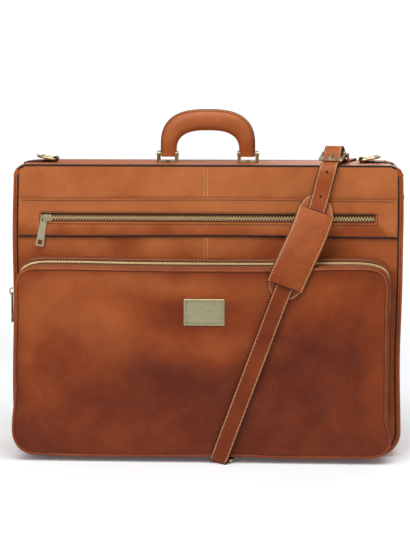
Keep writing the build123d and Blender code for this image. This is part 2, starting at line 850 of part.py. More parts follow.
turn = radians(40)
front_hook_frame = Plane(origin=(27, -104, 4.2), x_dir=(sin(turn), cos(turn), 0), z_dir=(0, 0, 1))
rear_x = 215.0
rear_hook_frame = Plane(origin=(rear_x, half_depth + 11.0, 88), x_dir=(0, 0, -1), z_dir=(0, 1, 0))

for word, frame in (("front", front_hook_frame), ("rear", rear_hook_frame)):
    save(hook_eye(frame), f"{word}_hook_eye")
    save(hook_body(frame), f"{word}_hook")
    save(hook_gate(frame), f"{word}_hook_gate")

# The rear run hangs down the back, and leaves the panel towards its hook.
with BuildPart() as strap_rear:
    with BuildSketch(Plane.YZ.offset(rear_x)):
        with BuildLine():
            FilletPolyline(
                (half_depth + 1.9, 429), (half_depth + 1.9, 230),
                (half_depth + 11, 150), (half_depth + 11, 100.2), radius=80,
            )
        trace(line_width=strap)
    extrude(amount=strap_width / 2, both=True)
save(both(strap_front, end_loop(front_hook_frame, 8.0)), "shoulder_strap_front")
save(both(strap_rear, end_loop(rear_hook_frame, 12.0)), "shoulder_strap_rear")
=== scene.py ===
from math import ceil, cos, pi, radians, sin

import bmesh
import bpy
import numpy as np
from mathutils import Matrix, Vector


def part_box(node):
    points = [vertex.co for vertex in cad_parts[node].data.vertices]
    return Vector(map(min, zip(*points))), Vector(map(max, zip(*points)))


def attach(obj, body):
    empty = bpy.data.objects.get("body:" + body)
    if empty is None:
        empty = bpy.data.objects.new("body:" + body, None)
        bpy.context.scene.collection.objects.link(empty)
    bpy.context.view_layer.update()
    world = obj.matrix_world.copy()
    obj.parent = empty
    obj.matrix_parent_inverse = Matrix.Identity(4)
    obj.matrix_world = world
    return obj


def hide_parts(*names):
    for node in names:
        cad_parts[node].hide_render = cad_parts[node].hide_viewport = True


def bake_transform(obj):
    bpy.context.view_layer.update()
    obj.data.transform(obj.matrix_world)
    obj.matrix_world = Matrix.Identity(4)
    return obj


# Looks of a leather garment bag that stands folded in two over its spine.
# Lengths below are in millimetres and turned to metres when a mesh is made.

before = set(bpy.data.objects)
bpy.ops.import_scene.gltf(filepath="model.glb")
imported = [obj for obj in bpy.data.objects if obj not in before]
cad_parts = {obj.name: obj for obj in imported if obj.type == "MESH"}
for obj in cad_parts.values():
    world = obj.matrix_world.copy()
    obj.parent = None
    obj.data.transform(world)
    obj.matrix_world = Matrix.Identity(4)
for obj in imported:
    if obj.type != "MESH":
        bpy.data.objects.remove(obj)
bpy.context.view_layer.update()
MM = 0.001


def span(node):
    """Lowest and highest corner of a CAD node."""
    low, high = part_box(node)
    return np.array(low) / MM, np.array(high) / MM


def smooth(t):
    """Smooth step of t from 0 to 1."""
    t = np.clip(t, 0.0, 1.0)
    return t * t * (3 - 2 * t)


def unit(v):
    """Vectors at length 1."""
    v = np.asarray(v, float)
    return v / np.maximum(np.linalg.norm(v, axis=-1, keepdims=True), 1e-9)


def bell(x, centre, width):
    """Bell curve of height 1 round a centre."""
    return np.exp(-(((x - centre) / width) ** 2))


def xyz(x, y, z):
    """Points from their coordinates, each of which is an array or one number."""
    return np.stack(np.broadcast_arrays(*(np.asarray(v, float) for v in (x, y, z))), -1)


# ---- materials

class Graph:
    """A material with its shader, and short calls for the nodes that feed it."""

    def __init__(self, name, **settings):
        self.material = bpy.data.materials.new(name)
        self.material.use_nodes = True
        self.tree = self.material.node_tree
        self.shader = self.tree.nodes["Principled BSDF"]
        for socket, value in settings.items():
            self.shader.inputs[socket.replace("_", " ")].default_value = value
        self.place = self.add("ShaderNodeTexCoord").outputs["Object"]

    def add(self, kind, inputs=(), **settings):
        made = self.tree.nodes.new(kind)
        for key, value in settings.items():
            setattr(made, key, value)
        for key, value in dict(inputs).items():
            if isinstance(value, bpy.types.NodeSocket):
                self.tree.links.new(value, made.inputs[key])
            else:
                made.inputs[key].default_value = value
        return made

    def noise(self, scale, detail=3.0, rough=0.5, seed=0.0, vector=None, distortion=0.0):
        sockets = {"Vector": vector or self.place, "W": seed, "Scale": scale, "Detail": detail,
                   "Roughness": rough, "Distortion": distortion}
        return self.add("ShaderNodeTexNoise", sockets, noise_dimensions="4D").outputs["Fac"]

    def stretched(self, scale, turn=(0, 0, 0)):
        sockets = {"Vector": self.place, "Scale": scale, "Rotation": turn}
        return self.add("ShaderNodeMapping", sockets).outputs[0]

    def sum(self, a, b, kind="ADD", clamp=False):
        return self.add("ShaderNodeMath", {0: a, 1: b}, operation=kind, use_clamp=clamp).outputs[0]

    def mul(self, a, b):
        return self.sum(a, b, "MULTIPLY")

    def fit(self, value, low, high, to_low=0.0, to_high=1.0):
        sockets = {"Value": value, "From Min": low, "From Max": high, "To Min": to_low, "To Max": to_high}
        return self.add("ShaderNodeMapRange", sockets, interpolation_type="SMOOTHSTEP").outputs[0]

    def ramp(self, value, stops):
        made = self.add("ShaderNodeValToRGB", {"Fac": value})
        made.color_ramp.elements.remove(made.color_ramp.elements[1])
        for i, (at, colour) in enumerate(stops):
            stop = made.color_ramp.elements[0] if i == 0 else made.color_ramp.elements.new(at)
            stop.position, stop.color = at, (*colour, 1.0)
        return made.outputs["Color"]

    def tint(self, a, b, share, kind="MIX"):
        made = self.add("ShaderNodeMix", {"Factor": share}, data_type="RGBA", blend_type=kind)
        for key, value in ((6, a), (7, b)):
            if isinstance(value, bpy.types.NodeSocket):
                self.tree.links.new(value, made.inputs[key])
            else:
                made.inputs[key].default_value = (*value, 1.0)
        return made.outputs[2]

    def height(self):
        return self.add("ShaderNodeSeparateXYZ", {"Vector": self.place}).outputs["Z"]

    def finish(self, colour, roughness, relief, depth, strength=1.0):
        links = self.tree.links
        links.new(colour, self.shader.inputs["Base Color"])
        links.new(roughness, self.shader.inputs["Roughness"])
        bump = self.add("ShaderNodeBump", {"Height": relief, "Strength": strength, "Distance": depth})
        links.new(bump.outputs[0], self.shader.inputs["Normal"])
        return self.material


BROWNS = [(0.0, (0.050, 0.0065, 0.0012)), (0.2, (0.112, 0.0155, 0.0028)), (0.4, (0.225, 0.040, 0.0065)),
          (0.6, (0.345, 0.084, 0.019)), (0.8, (0.475, 0.145, 0.042)), (1.0, (0.62, 0.235, 0.085))]


def leather(name, tone, spread=1.0, low=None, patches=(), shine=0.0, seed=0.0):
    """
    Waxed leather. Tone runs from the darkest brown to the lightest, and spread is the strength of its clouds.
    low is (height, height, drop) of painted shade that darkens the lower part; each patch is (x, z, width, height,
    change of tone), lighter patches painted light and darker ones painted shade, both mixed with wear.
    """
    g = Graph(name, Specular_IOR_Level=0.18, Coat_Weight=0.04 + shine, Coat_Roughness=0.3, Coat_IOR=1.45)
    broad = g.noise(7.0, 3.0, 0.55, seed, distortion=0.8)
    cloudy = g.noise(30.0, 5.0, 0.62, seed + 3, distortion=0.4)
    fine = g.noise(330.0, 4.0, 0.65, seed + 5)
    clouds = g.sum(g.sum(g.mul(broad, 0.50), g.mul(cloudy, 0.34)),
                   g.mul(fine, 0.16))
    shade = g.sum(g.mul(g.sum(clouds, 0.5, "SUBTRACT"), 1.15 * spread), tone)
    # Painted shade: the leather darkens towards the bottom, between the two heights of low.
    if low:
        drop = g.fit(g.sum(g.height(), g.mul(g.sum(broad, 0.5, "SUBTRACT"), 0.12)),
                     low[0] * MM, low[1] * MM, -low[2], 0.0)
        shade = g.sum(shade, drop)
    wander = g.add("ShaderNodeVectorMath", {0: g.place}, operation="ADD")
    stir = g.add("ShaderNodeTexNoise", {"Vector": g.place, "Scale": 9.0, "Detail": 3.0})
    offset = g.add("ShaderNodeVectorMath", {0: stir.outputs["Color"], 1: (0.05, 0.0, 0.05)}, operation="MULTIPLY")
    g.tree.links.new(offset.outputs[0], wander.inputs[1])
    # Painted light and shade mixed with wear: soft lighter and darker patches at given places.
    for x, z, wide, tall, change in patches:
        apart = g.add("ShaderNodeVectorMath", {0: wander.outputs[0], 1: ((x + 25) * MM, 0, (z + 25) * MM)},
                      operation="SUBTRACT")
        scaled = g.add("ShaderNodeVectorMath", {0: apart.outputs[0], 1: (1000 / wide, 0.0, 1000 / tall)},
                       operation="MULTIPLY")
        away = g.add("ShaderNodeVectorMath", {0: scaled.outputs[0]}, operation="LENGTH").outputs["Value"]
        shade = g.sum(shade, g.fit(away, 0.0, 1.9, change, 0.0))
    cells = g.add("ShaderNodeTexVoronoi", {"Vector": g.place, "Scale": 720.0}, feature="SMOOTH_F1").outputs[0]
    relief = g.sum(g.mul(cells, 0.6), g.mul(g.noise(150.0, 5.0, 0.6, seed), 0.9))
    roughness = g.fit(g.sum(cloudy, fine), 0.7, 1.3, 0.56, 0.40)
    return g.finish(g.ramp(shade, BROWNS), roughness, relief, 0.0005, 0.4)


def paint(name, dark, light):
    """Streaky dark paint: the painted raw edges of the leather, and also a strip of painted shadow on the pocket's
    front.
    """
    g = Graph(name, Specular_IOR_Level=0.2)
    streaks = g.noise(120.0, 3.0, 0.5)
    return g.finish(g.ramp(streaks, [(0.35, dark), (0.65, light)]), g.fit(streaks, 0, 1, 0.45, 0.6), streaks,
                    0.0001, 0.3)


def fabric(name, dark, light, pitch, twill):
    """Woven cloth: two sets of threads, or the slanted ribs of a twill."""
    g = Graph(name, Specular_IOR_Level=0.2, Sheen_Weight=0.25, Sheen_Roughness=0.5)
    scale = 1.0 / (pitch * MM)
    turns = ((0, 0, 0), (0, 0, 0)) if not twill else ((0, radians(58), 0), (0, radians(-32), 0))
    waves = [
        g.add("ShaderNodeTexWave", {"Vector": g.stretched((1, 1, 1), turn), "Scale": scale * size,
                                    "Distortion": 0.3, "Detail Scale": 2.0},
              wave_type="BANDS", bands_direction=axis).outputs["Fac"]
        for turn, axis, size in zip(turns, ("X", "Z"), (0.32, 0.32 if not twill else 0.08))
    ]
    threads = g.sum(waves[0], waves[1], "MULTIPLY" if not twill else "ADD")
    wear = g.noise(26.0, 4.0, 0.6)
    colour = g.tint(g.ramp(threads, [(0.1, dark), (1.0, light)]), (0.55, 0.5, 0.45),
                    g.fit(wear, 0.35, 0.8, 0.0, 0.35), "MULTIPLY")
    return g.finish(colour, g.fit(wear, 0.3, 0.7, 0.95, 0.8), threads, 0.0003, 0.6)


def metal(name, dark, light, roughness, grain=(1, 1, 1), tarnish=0.5, seed=0.0, metallic=1.0):
    """Brass or steel with brushed grain, and tarnish that gathers in patches."""
    g = Graph(name, Metallic=metallic)
    patches = g.noise(90.0, 4.0, 0.6, seed)
    lines = g.noise(420.0, 3.0, 0.6, seed, g.stretched(grain))
    wear = g.sum(g.mul(patches, tarnish), g.mul(lines, 1 - tarnish))
    colour = g.ramp(wear, [(0.38, dark), (0.58, light)])
    return g.finish(colour, g.fit(wear, 0.3, 0.7, roughness[1], roughness[0]), lines, 0.0001, 0.25)


def thread(name, dark, light):
    g = Graph(name, Specular_IOR_Level=0.3)
    twist = g.noise(900.0, 2.0, 0.5)
    return g.finish(g.ramp(twist, [(0.35, dark), (0.65, light)]), g.fit(twist, 0, 1, 0.6, 0.8), twist, 0.0002, 0.5)


M = {
    # The low drops below are painted shade on the lower parts. The patches are painted light and shade mixed with wear:
    # the pocket's lighter ones are painted highlights along its folds, and the strap's patch is a painted highlight
    # near its top.
    "case": leather("case_leather", 0.72, 0.75, low=(250, 345, 0.24), patches=(
        (-180, 400, 90, 40, 0.07), (60, 405, 60, 50, 0.05), (180, 330, 80, 40, -0.08)), seed=1.0),
    "overlay": leather("overlay_leather", 0.73, 0.7, low=(328, 352, 0.22), patches=((-60, 372, 120, 14, 0.03),),
                       seed=2.0),
    "band": leather("band_leather", 0.60, 0.9, seed=3.0),
    "pocket": leather("pocket_leather", 0.255, 0.62, patches=(
        (-196, 238, 95, 38, 0.26), (-120, 192, 70, 34, 0.24), (8, 172, 66, 22, 0.20), (-40, 268, 150, 20, 0.30),
        (180, 250, 90, 40, 0.17), (-250, 110, 30, 60, 0.12), (-60, 112, 95, 40, -0.01), (140, 150, 60, 40, -0.02),
        (-180, 40, 80, 26, 0.06),
        (-150, 150, 50, 30, 0.10), (80, 212, 60, 36, 0.12), (255, 170, 20, 80, 0.12), (-262, 200, 20, 70, 0.16)),
        seed=4.0),
    "shadow_line": paint("painted_shadow_line", (0.040, 0.012, 0.005), (0.075, 0.022, 0.008)),
    "trim": leather("trim_leather", 0.50, 0.8, low=(60, 270, 0.14), shine=0.08, seed=5.0),
    "strap": leather("strap_leather", 0.385, 0.7, low=(90, 300, 0.10), patches=((190, 440, 60, 60, 0.18),), seed=6.0),
    "pad": leather("pad_leather", 0.58, 0.9, low=(250, 330, 0.10), seed=10.0),
    "spine": leather("spine_leather", 0.66, 0.5, shine=0.10, seed=9.0),
    "handle": leather("handle_leather", 0.66, 0.6, shine=0.12, seed=7.0),
    "edge": paint("edge_paint", (0.010, 0.006, 0.005), (0.026, 0.016, 0.013)),
    "lining": fabric("lining_twill", (0.20, 0.14, 0.085), (0.36, 0.27, 0.18), 1.6, True),
    "tape": fabric("zip_tape", (0.17, 0.055, 0.019), (0.30, 0.105, 0.037), 1.0, False),
    "webbing": fabric("garment_webbing", (0.10, 0.05, 0.025), (0.22, 0.12, 0.06), 1.8, False),
    "teeth": metal("zip_brass", (0.80, 0.53, 0.23), (1.0, 0.80, 0.46), (0.36, 0.5), (1, 1, 1), 0.3, metallic=0.45),
    "pale": metal("pale_brass", (0.58, 0.50, 0.30), (0.84, 0.75, 0.51), (0.26, 0.40), (1, 1, 6), 0.4, 1.0),
    "plaque": metal("plaque_brass", (0.40, 0.355, 0.205), (0.52, 0.47, 0.29), (0.36, 0.50), (0.12, 1, 6), 0.25, 2.0),
    "antique": metal("antique_brass", (0.13, 0.10, 0.045), (0.50, 0.42, 0.24), (0.28, 0.46), (1, 1, 4), 0.7, 3.0),
    "aged": metal("aged_brass", (0.30, 0.25, 0.13), (0.74, 0.66, 0.43), (0.28, 0.44), (1, 1, 4), 0.6, 6.0),
    "bronze": metal("dark_bronze", (0.07, 0.055, 0.03), (0.16, 0.13, 0.07), (0.4, 0.55), seed=5.0),
    "steel": metal("plain_steel", (0.42, 0.42, 0.42), (0.66, 0.66, 0.65), (0.28, 0.42), (1, 1, 8), 0.4, 4.0),
    "board": fabric("pressed_board", (0.22, 0.15, 0.09), (0.34, 0.25, 0.16), 2.6, True),
    "dark_thread": thread("dark_thread", (0.028, 0.010, 0.006), (0.085, 0.030, 0.014)),
    "tan_thread": thread("tan_thread", (0.50, 0.26, 0.11), (0.72, 0.42, 0.21)),
}

# ---- meshes


def piece(name, points, faces, coat, slot, body=None, walls=(), wall_coat=None, sharp=38.0):
    """A mesh from points in millimetres; the faces whose numbers are in walls take the second material."""
    data = bpy.data.meshes.new(name)
    data.from_pydata((np.asarray(points, float).reshape(-1, 3) * MM).tolist(), [], faces)
    for key in [coat] + ([wall_coat] if wall_coat else []):
        data.materials.append(M[key])
    marks = np.zeros(len(faces), np.int32)
    marks[list(walls)] = 1 if wall_coat else 0
    data.polygons.foreach_set("material_index", marks)
    shape = bmesh.new()
    shape.from_mesh(data)
    bmesh.ops.remove_doubles(shape, verts=shape.verts, dist=2e-6)
    bmesh.ops.recalc_face_normals(shape, faces=shape.faces)
    shape.to_mesh(data)
    shape.free()
    data.polygons.foreach_set("use_smooth", [True] * len(data.polygons))
    data.set_sharp_from_angle(angle=radians(sharp))
    made = bpy.data.objects.new(name, data)
    bpy.context.scene.collection.objects.link(made)
    if body:
        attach(made, body)
    return made


def weave(rows, columns, wrap_rows=False, wrap_columns=False):
    """Quads over a grid of points, with either way closed on itself."""
    i, j = np.meshgrid(np.arange(rows - (not wrap_rows)), np.arange(columns - (not wrap_columns)), indexing="ij")
    i, j, up, over = i.ravel(), j.ravel(), (i.ravel() + 1) % rows, (j.ravel() + 1) % columns
    return np.stack([i * columns + j, i * columns + over, up * columns + over, up * columns + j], 1).tolist()


def tube(name, rings, coat, slot, body=None, loop=False, dark=(), **more):
    """Skin over closed rings of points, capped unless it closes on itself; dark says which strips of it are edges."""
    rings = np.asarray(rings, float)
    faces = weave(len(rings), rings.shape[1], loop, True)
    walls = [k for k in range(len(faces)) if k % rings.shape[1] in dark]
    if dark:
        more = {"walls": walls, "wall_coat": "edge", **more}
    if not loop:
        last = (len(rings) - 1) * rings.shape[1]
        faces += [list(range(rings.shape[1]))[::-1], [last + k for k in range(rings.shape[1])]]
    return piece(name, rings, faces, coat, slot, body, **more)


def slab(name, front, back, coat, slot, body=None, keep=None, wall_coat=None, dark=None):
    """Two grids of points joined round every free edge; keep says which cells are there, and dark which are edges."""
    front, back = np.asarray(front, float), np.asarray(back, float)
    rows, columns = front.shape[:2]
    keep = np.ones((rows - 1, columns - 1), bool) if keep is None else keep
    cells = [q for q, k in zip(weave(rows, columns), keep.ravel()) if k]
    count = rows * columns
    faces = cells + [[v + count for v in q[::-1]] for q in cells]
    seen = {}
    for q in cells:
        for a, b in zip(q, q[1:] + q[:1]):
            seen[(a, b)] = True
    walls = [[b, a, a + count, b + count] for a, b in seen if (b, a) not in seen]
    marks = list(range(len(faces), len(faces) + len(walls)))
    if dark is not None:
        marks += [k for k, d in enumerate(dark.ravel()[keep.ravel()]) if d]
    points = np.concatenate([front.reshape(-1, 3), back.reshape(-1, 3)])
    used = sorted({v for f in faces for v in f})
    place = {v: k for k, v in enumerate(used)}
    faces = [[place[v] for v in f] for f in faces + walls]
    return piece(name, points[used], faces, coat, slot, body, marks, wall_coat)


def resample(path, *others, pitch=None, count=None):
    """Points at an even spacing along a path, with whatever else is known at its points."""
    path = np.asarray(path, float)
    along = np.concatenate([[0], np.cumsum(np.linalg.norm(np.diff(path, axis=0), axis=1))])
    count = count or max(2, int(round(along[-1] / pitch)) + 1)
    at = np.linspace(0, along[-1], count)
    out = []
    for values in (path, *others):
        values = np.broadcast_to(np.asarray(values, float), path.shape)
        out.append(np.stack([np.interp(at, along, values[:, k]) for k in range(3)], 1))
    return out if others else out[0]


def sew(name, seams, coat, slot, body=None, pitch=4.4, length=2.4, width=1.6, rise=0.55):
    """Stitches: short rounded threads along each seam, which is a path and its surface normals."""
    points, faces = [], []
    ring = np.array([(c * width / 2, s * rise) for c, s in ((1, 0), (0, 1), (-1, 0), (0, -1))])
    for path, normals in seams:
        path, normals = resample(path, normals, pitch=pitch)
        middle = (path[1:] + path[:-1]) / 2
        way = unit(path[1:] - path[:-1])
        up = unit((normals[1:] + normals[:-1]) / 2)
        side = unit(np.cross(way, up))
        for m, t, n, b in zip(middle, way, up, side):
            base = len(points)
            for along, size in ((-0.5, 0.45), (-0.28, 1.0), (0.28, 1.0), (0.5, 0.45)):
                for u, v in ring * size:
                    points.append(m + t * along * length + b * u + n * (v + rise * 0.25))
            for k in range(3):
                faces += [[base + 4 * k + j, base + 4 * k + (j + 1) % 4, base + 4 * k + 4 + (j + 1) % 4,
                           base + 4 * k + 4 + j] for j in range(4)]
            faces += [[base, base + 1, base + 2, base + 3], [base + 12 + j for j in (3, 2, 1, 0)]]
    return piece(name, points, faces, coat, slot, body, sharp=60)


def teeth(name, rows, body, slot="zip_brass", pitch=4.2):
    """Zip teeth: each row is a path down the chain's middle, the outside, and the side the row is on."""
    points, faces = [], []
    shape = [(-0.8, 3.2, 1.3), (0.8, 3.2, 1.3), (0.95, -0.3, 1.45), (-0.95, -0.3, 1.45)]
    for path, outside, side, phase in rows:
        path, outside, side = resample(path, outside, side, pitch=pitch)
        way = unit(np.gradient(path, axis=0))
        for m, t, n, b in zip(path + way * pitch * phase, way, unit(outside), unit(side)):
            base = len(points)
            for level, size in ((-1.0, 1.0), (0.55, 1.0), (1.0, 0.6)):
                for u, v, h in shape:
                    points.append(m + t * u * size + b * (1.3 + (v - 1.3) * (0.7 + 0.3 * size)) + n * h * level)
            for k in range(2):
                faces += [[base + 4 * k + j, base + 4 * k + (j + 1) % 4, base + 4 * k + 4 + (j + 1) % 4,
                           base + 4 * k + 4 + j] for j in range(4)]
            faces += [[base, base + 1, base + 2, base + 3], [base + 8 + j for j in (3, 2, 1, 0)]]
    return piece(name, points, faces, "teeth", slot, body, sharp=25)


def outline(box, radii, closed, step=5.0):
    """Points and outward normals round a box with round corners, from its top left corner down and round."""
    left, right, low, high = box
    low_r, high_r = radii
    corners = [((left + high_r, high - high_r), high_r, 90), ((left + low_r, low + low_r), low_r, 180),
               ((right - low_r, low + low_r), low_r, 270), ((right - high_r, high - high_r), high_r, 0)]
    points, normals = [], []
    for (cx, cz), radius, start in corners:
        for k in range(ceil(radius * pi / 2 / 3) + 1):
            a = radians(start + 90 * k / ceil(radius * pi / 2 / 3))
            points.append((cx + radius * cos(a), cz + radius * sin(a)))
            normals.append((cos(a), sin(a)))
    points, normals = np.array(points), np.array(normals)
    if closed:
        points, normals = np.vstack([points, points[:1]]), np.vstack([normals, normals[:1]])
    lengths = np.concatenate([[0], np.cumsum(np.linalg.norm(np.diff(points, axis=0), axis=1))])
    at = [lengths[0]]
    for a, b in zip(lengths[:-1], lengths[1:]):
        at += list(np.linspace(a, b, max(1, round((b - a) / step)) + 1)[1:])
    points = np.stack([np.interp(at, lengths, points[:, k]) for k in (0, 1)], 1)
    normals = unit(np.stack([np.interp(at, lengths, normals[:, k]) for k in (0, 1)], 1))
    return (points[:-1], normals[:-1]) if closed else (points, normals)


def lay(ring, inset, y):
    """A path round an outline at an inset and a depth, which may vary along it."""
    points, normals = ring
    flat = points - normals * np.broadcast_to(inset, len(points))[:, None]
    return xyz(flat[:, 0], y, flat[:, 1])


def outward(ring):
    """Outward normals of an outline."""
    return xyz(ring[1][:, 0], 0, ring[1][:, 1])


def swept(name, ring, profile, bend, coat, slot, body, loop, **more):
    """A profile of (inset, depth) swept round an outline, and then bent to its slack shape."""
    rings = np.stack([lay(ring, inset, y) for inset, y in profile], 1)
    return tube(name, bend(rings), coat, slot, body, loop=loop, **more)


def sheet_grid(box, radii, y, columns, rows, cuts_x=(), cuts_z=()):
    """Grid of points over a panel with round corners, whose lines also run through the given cuts."""
    left, right, low, high = box
    low_r, high_r = radii
    z = np.unique(np.concatenate([
        np.linspace(low, high, rows), low + low_r * (1 - np.cos(np.linspace(0, pi / 2, 9))),
        high - high_r * (1 - np.cos(np.linspace(0, pi / 2, 9))), cuts_z]).round(3))
    middle, half = (left + right) / 2, (right - left) / 2
    u = np.unique(np.concatenate([np.linspace(-1, 1, columns), [(c - middle) / half for c in cuts_x]]).round(5))
    pull = np.zeros(len(z))
    for radius, reach in ((low_r, z - low), (high_r, high - z)):
        inside = reach < radius
        pull[inside] += radius - np.sqrt(np.maximum(radius**2 - (radius - reach[inside]) ** 2, 0))
    wide = 1 - pull / half
    return xyz(middle + half * wide[:, None] * u, y, z[:, None])


def cells_outside(grid, window):
    """Which cells of a panel's grid stay when a window is cut in it."""
    centre = (grid[1:, 1:] + grid[:-1, :-1]) / 2
    left, right, low, high = window
    return ~((centre[..., 0] > left) & (centre[..., 0] < right) & (centre[..., 2] > low) & (centre[..., 2] < high))


def ridge(x, z, start, end, width, amount):
    """Height of one soft fold that runs between two points of a panel."""
    (x0, z0), (x1, z1) = start, end
    t = np.clip(((x - x0) * (x1 - x0) + (z - z0) * (z1 - z0)) / ((x1 - x0) ** 2 + (z1 - z0) ** 2), 0, 1)
    away = np.hypot(x - x0 - t * (x1 - x0), z - z0 - t * (z1 - z0))
    return amount * np.exp(-((away / width) ** 2))


def ripple(x, z, seed, size, amount):
    """Slow, repeatable waviness of a leather surface."""
    draw = np.random.default_rng(seed)
    out = np.zeros(np.broadcast(x, z).shape)
    for _ in range(6):
        a, length, phase = draw.uniform(0, pi), size * draw.uniform(0.6, 1.7), draw.uniform(0, 2 * pi)
        out = out + np.sin((x * cos(a) + z * sin(a)) * 2 * pi / length + phase)
    return out * amount / 6


# ---- case

case_low, case_high = span("front_gusset")
rear_low = span("rear_gusset")[0]
half_width, case_top = case_high[0], case_high[2]
case_box = (-half_width, half_width, 0.0, case_top)
case_radii = (38.0, 14.0)
case_ring = outline(case_box, case_radii, False)
panel_y = span("front_panel")[0][1]
band = panel_y - case_low[1]
zip_y = (rear_low[1] + case_high[1]) / 2
groove_front, groove_rear = case_high[1], rear_low[1]
chain_inset = half_width - span("front_zip_teeth")[1][0] + 1.4
spine_under, spine_top = span("spine_leather")[0][2], span("spine_leather")[1][2]


def case_bend(points):
    """The case narrows a little towards the top of its panels, and its leather isn't quite flat."""
    points = np.array(points, float)
    x, y, z = points[..., 0], points[..., 1], points[..., 2]
    out = smooth((np.abs(y) - 18) / 44)
    share = np.abs(x / half_width) ** 3 * out
    points[..., 0] += np.where(x < 0, 3.2 * smooth((z - 190) / 240), 3.0 * bell(z, 374, 62)) * share
    points[..., 0] += np.sign(x) * np.abs(x / half_width) ** 3 * 1.2 * np.sin(z / 39 + np.sign(x)) * out
    return points


band_width = 8.3


def band_bend(points):
    """The band's inner edge runs straight up at the top corners, instead of turning in under the spine."""
    points = np.array(points, float)
    x, y, z = points[..., 0], points[..., 1], points[..., 2]
    facing = (np.abs(y) > -panel_y - 0.05) & (z > case_top - 20)
    points[..., 0] = np.where(facing, np.sign(x) * np.maximum(np.abs(x), half_width - band_width), x)
    return case_bend(points)


def face_wave(points, sign):
    """Soft hollows of a case panel, which stays outside its lining."""
    x, z = points[..., 0], points[..., 2]
    edge = smooth((half_width - np.abs(x) - 12) / 60) * smooth((case_top - z) / 50) * smooth((z - 8) / 40)
    wave = ripple(x, z, 11 if sign < 0 else 12, 260, 1.1) - 0.5
    points[..., 1] += sign * np.minimum(wave, 0.9) * edge
    return points


tuck = spine_under - 0.3
slot_window = (-250.0, 254.0, 343.0, 370.0)
seam_lap = 3.4
for sign, word in ((-1, "front"), (1, "rear")):
    body = f"{word}_half"
    grid = sheet_grid((-half_width + 2.6, half_width - 2.6, 2.6, case_top), (35.4, 11.4), sign * -panel_y, 90, 66,
                      slot_window[:2] + (-seam_lap, seam_lap, -seam_lap - 0.5), slot_window[2:])
    grid[-1, :, 2] = tuck
    inner = grid.copy()
    outer = face_wave(grid, sign)
    outer[..., 1] += sign * 0.9 * smooth((grid[..., 0] + seam_lap + 0.5) / 0.5) * (
        1 - smooth((grid[..., 0] - seam_lap) / 8))
    inner[..., 1] = outer[..., 1] - sign * 2.4
    keep = cells_outside(grid, slot_window) if sign < 0 else None
    made = slab(f"{word}_case_panel", case_bend(outer), case_bend(inner), "case", "case_leather", body, keep, "edge")
    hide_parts(f"{word}_panel")

    edge_y = groove_front if sign < 0 else groove_rear
    face = sign * -panel_y
    outside = face + sign * band
    arc = [(0.9, outside - sign * 0.25), (0.25, outside - sign * 0.9)]
    wall = np.linspace(outside - sign * 3.0, edge_y + sign * 1.2, 12)
    profile = ([(band_width, face + sign * 0.1), (8.1, outside - sign * 0.3), (6.2, outside), (2.4, outside)] + arc
               + [(0.12 if 0 < k < 11 else 0.0, y) for k, y in enumerate(wall)]
               + [(0.0, edge_y), (1.7, edge_y), (2.4, edge_y + sign * 1.0), (2.4, face - sign * 2.0),
                  (3.6, face + sign * 0.1)])
    # The raw edges, along the band's inner side and along the zip, are painted dark.
    made = swept(f"{word}_gusset_band", case_ring, profile, band_bend, "band", "band_leather", body, False,
                 dark=(0, 1, 18, 19))
    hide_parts(f"{word}_gusset")

    front_seam = case_bend(lay(case_ring, 3.9, outside + sign * 0.05))
    front_seam = front_seam[front_seam[:, 2] < case_top - 9]
    side_seam = case_bend(lay(case_ring, 0.0, edge_y + sign * 3.4))
    sew(f"{word}_band_stitches", [(front_seam, (0, sign, 0)), (side_seam, outward(case_ring))],
        "dark_thread", "band_leather", body)

    # Zip tape with its bead, and one row of teeth
    near = zip_y + sign * 2.9
    far = zip_y + sign * 14.2
    tape_profile = [(chain_inset - 0.9, near), (chain_inset - 0.9, near + sign * 1.5),
                    (chain_inset - 0.35, near + sign * 2.0),
                    (chain_inset - 0.35, far), (chain_inset + 0.4, far), (chain_inset + 0.4, near + sign * 2.0),
                    (chain_inset + 0.9, near + sign * 1.5), (chain_inset + 0.9, near)]
    made = swept(f"{word}_case_zip_tape", case_ring, tape_profile, lambda p: p, "tape", "zip_tape", body, False)
    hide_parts(f"{word}_zip_tape")
    chain = lay(case_ring, chain_inset, zip_y)
    made = teeth(f"{word}_case_zip_teeth", [(chain, outward(case_ring), (0, sign, 0), 0.5 * (sign > 0))], body)
    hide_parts(f"{word}_zip_teeth")

# Seam down the middle, with a row of stitches on each side of it
for sign, word in ((-1, "front"), (1, "rear")):
    runs = []
    parts = ((389.0, tuck - 3), (296.0, 327.0)) if sign < 0 else ((8.0, tuck - 3),)
    for low, high in parts:
        for x in (-2.6, 2.6):
            z = np.linspace(low, high, 24)
            path = xyz(x, sign * (-panel_y + 0.1), z)
            path = face_wave(path, sign)
            path[:, 1] += sign * 0.9 * (x > -3)
            runs.append((path, (0, sign, 0)))
    sew(f"{word}_seam_stitches", runs, "tan_thread", "case_leather", f"{word}_half", pitch=3.9)

# ---- lining and what is inside

for word, coat_y, sign in (("rear", span("rear_lining"), 1), ("front", span("front_lining"), -1)):
    low, high = coat_y
    box = (low[0], high[0], low[2], high[2])
    grid = sheet_grid(box, (30.8, 6.8), low[1], 60, 46)
    back = grid.copy()
    back[..., 1] = high[1]
    inside = back if sign < 0 else grid
    edge = smooth((high[0] - np.abs(grid[..., 0])) / 30) * smooth((grid[..., 2] - low[2]) / 30) * smooth(
        (high[2] - grid[..., 2]) / 30)
    inside[..., 1] -= sign * 0.35 * (1 + ripple(grid[..., 0], grid[..., 2], 21 + sign, 120, 1.6)) * edge
    made = slab(f"{word}_case_lining", grid, back, "lining", "lining_fabric", f"{word}_half", wall_coat="webbing")
    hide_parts(f"{word}_lining")
    ring = outline(box, (30.8, 6.8), True)
    line = lay(ring, 4.0, (high[1] if sign < 0 else low[1]) - sign * 0.1)
    sew(f"{word}_lining_stitches", [(line, (0, -sign, 0))], "tan_thread", "lining_fabric", f"{word}_half")

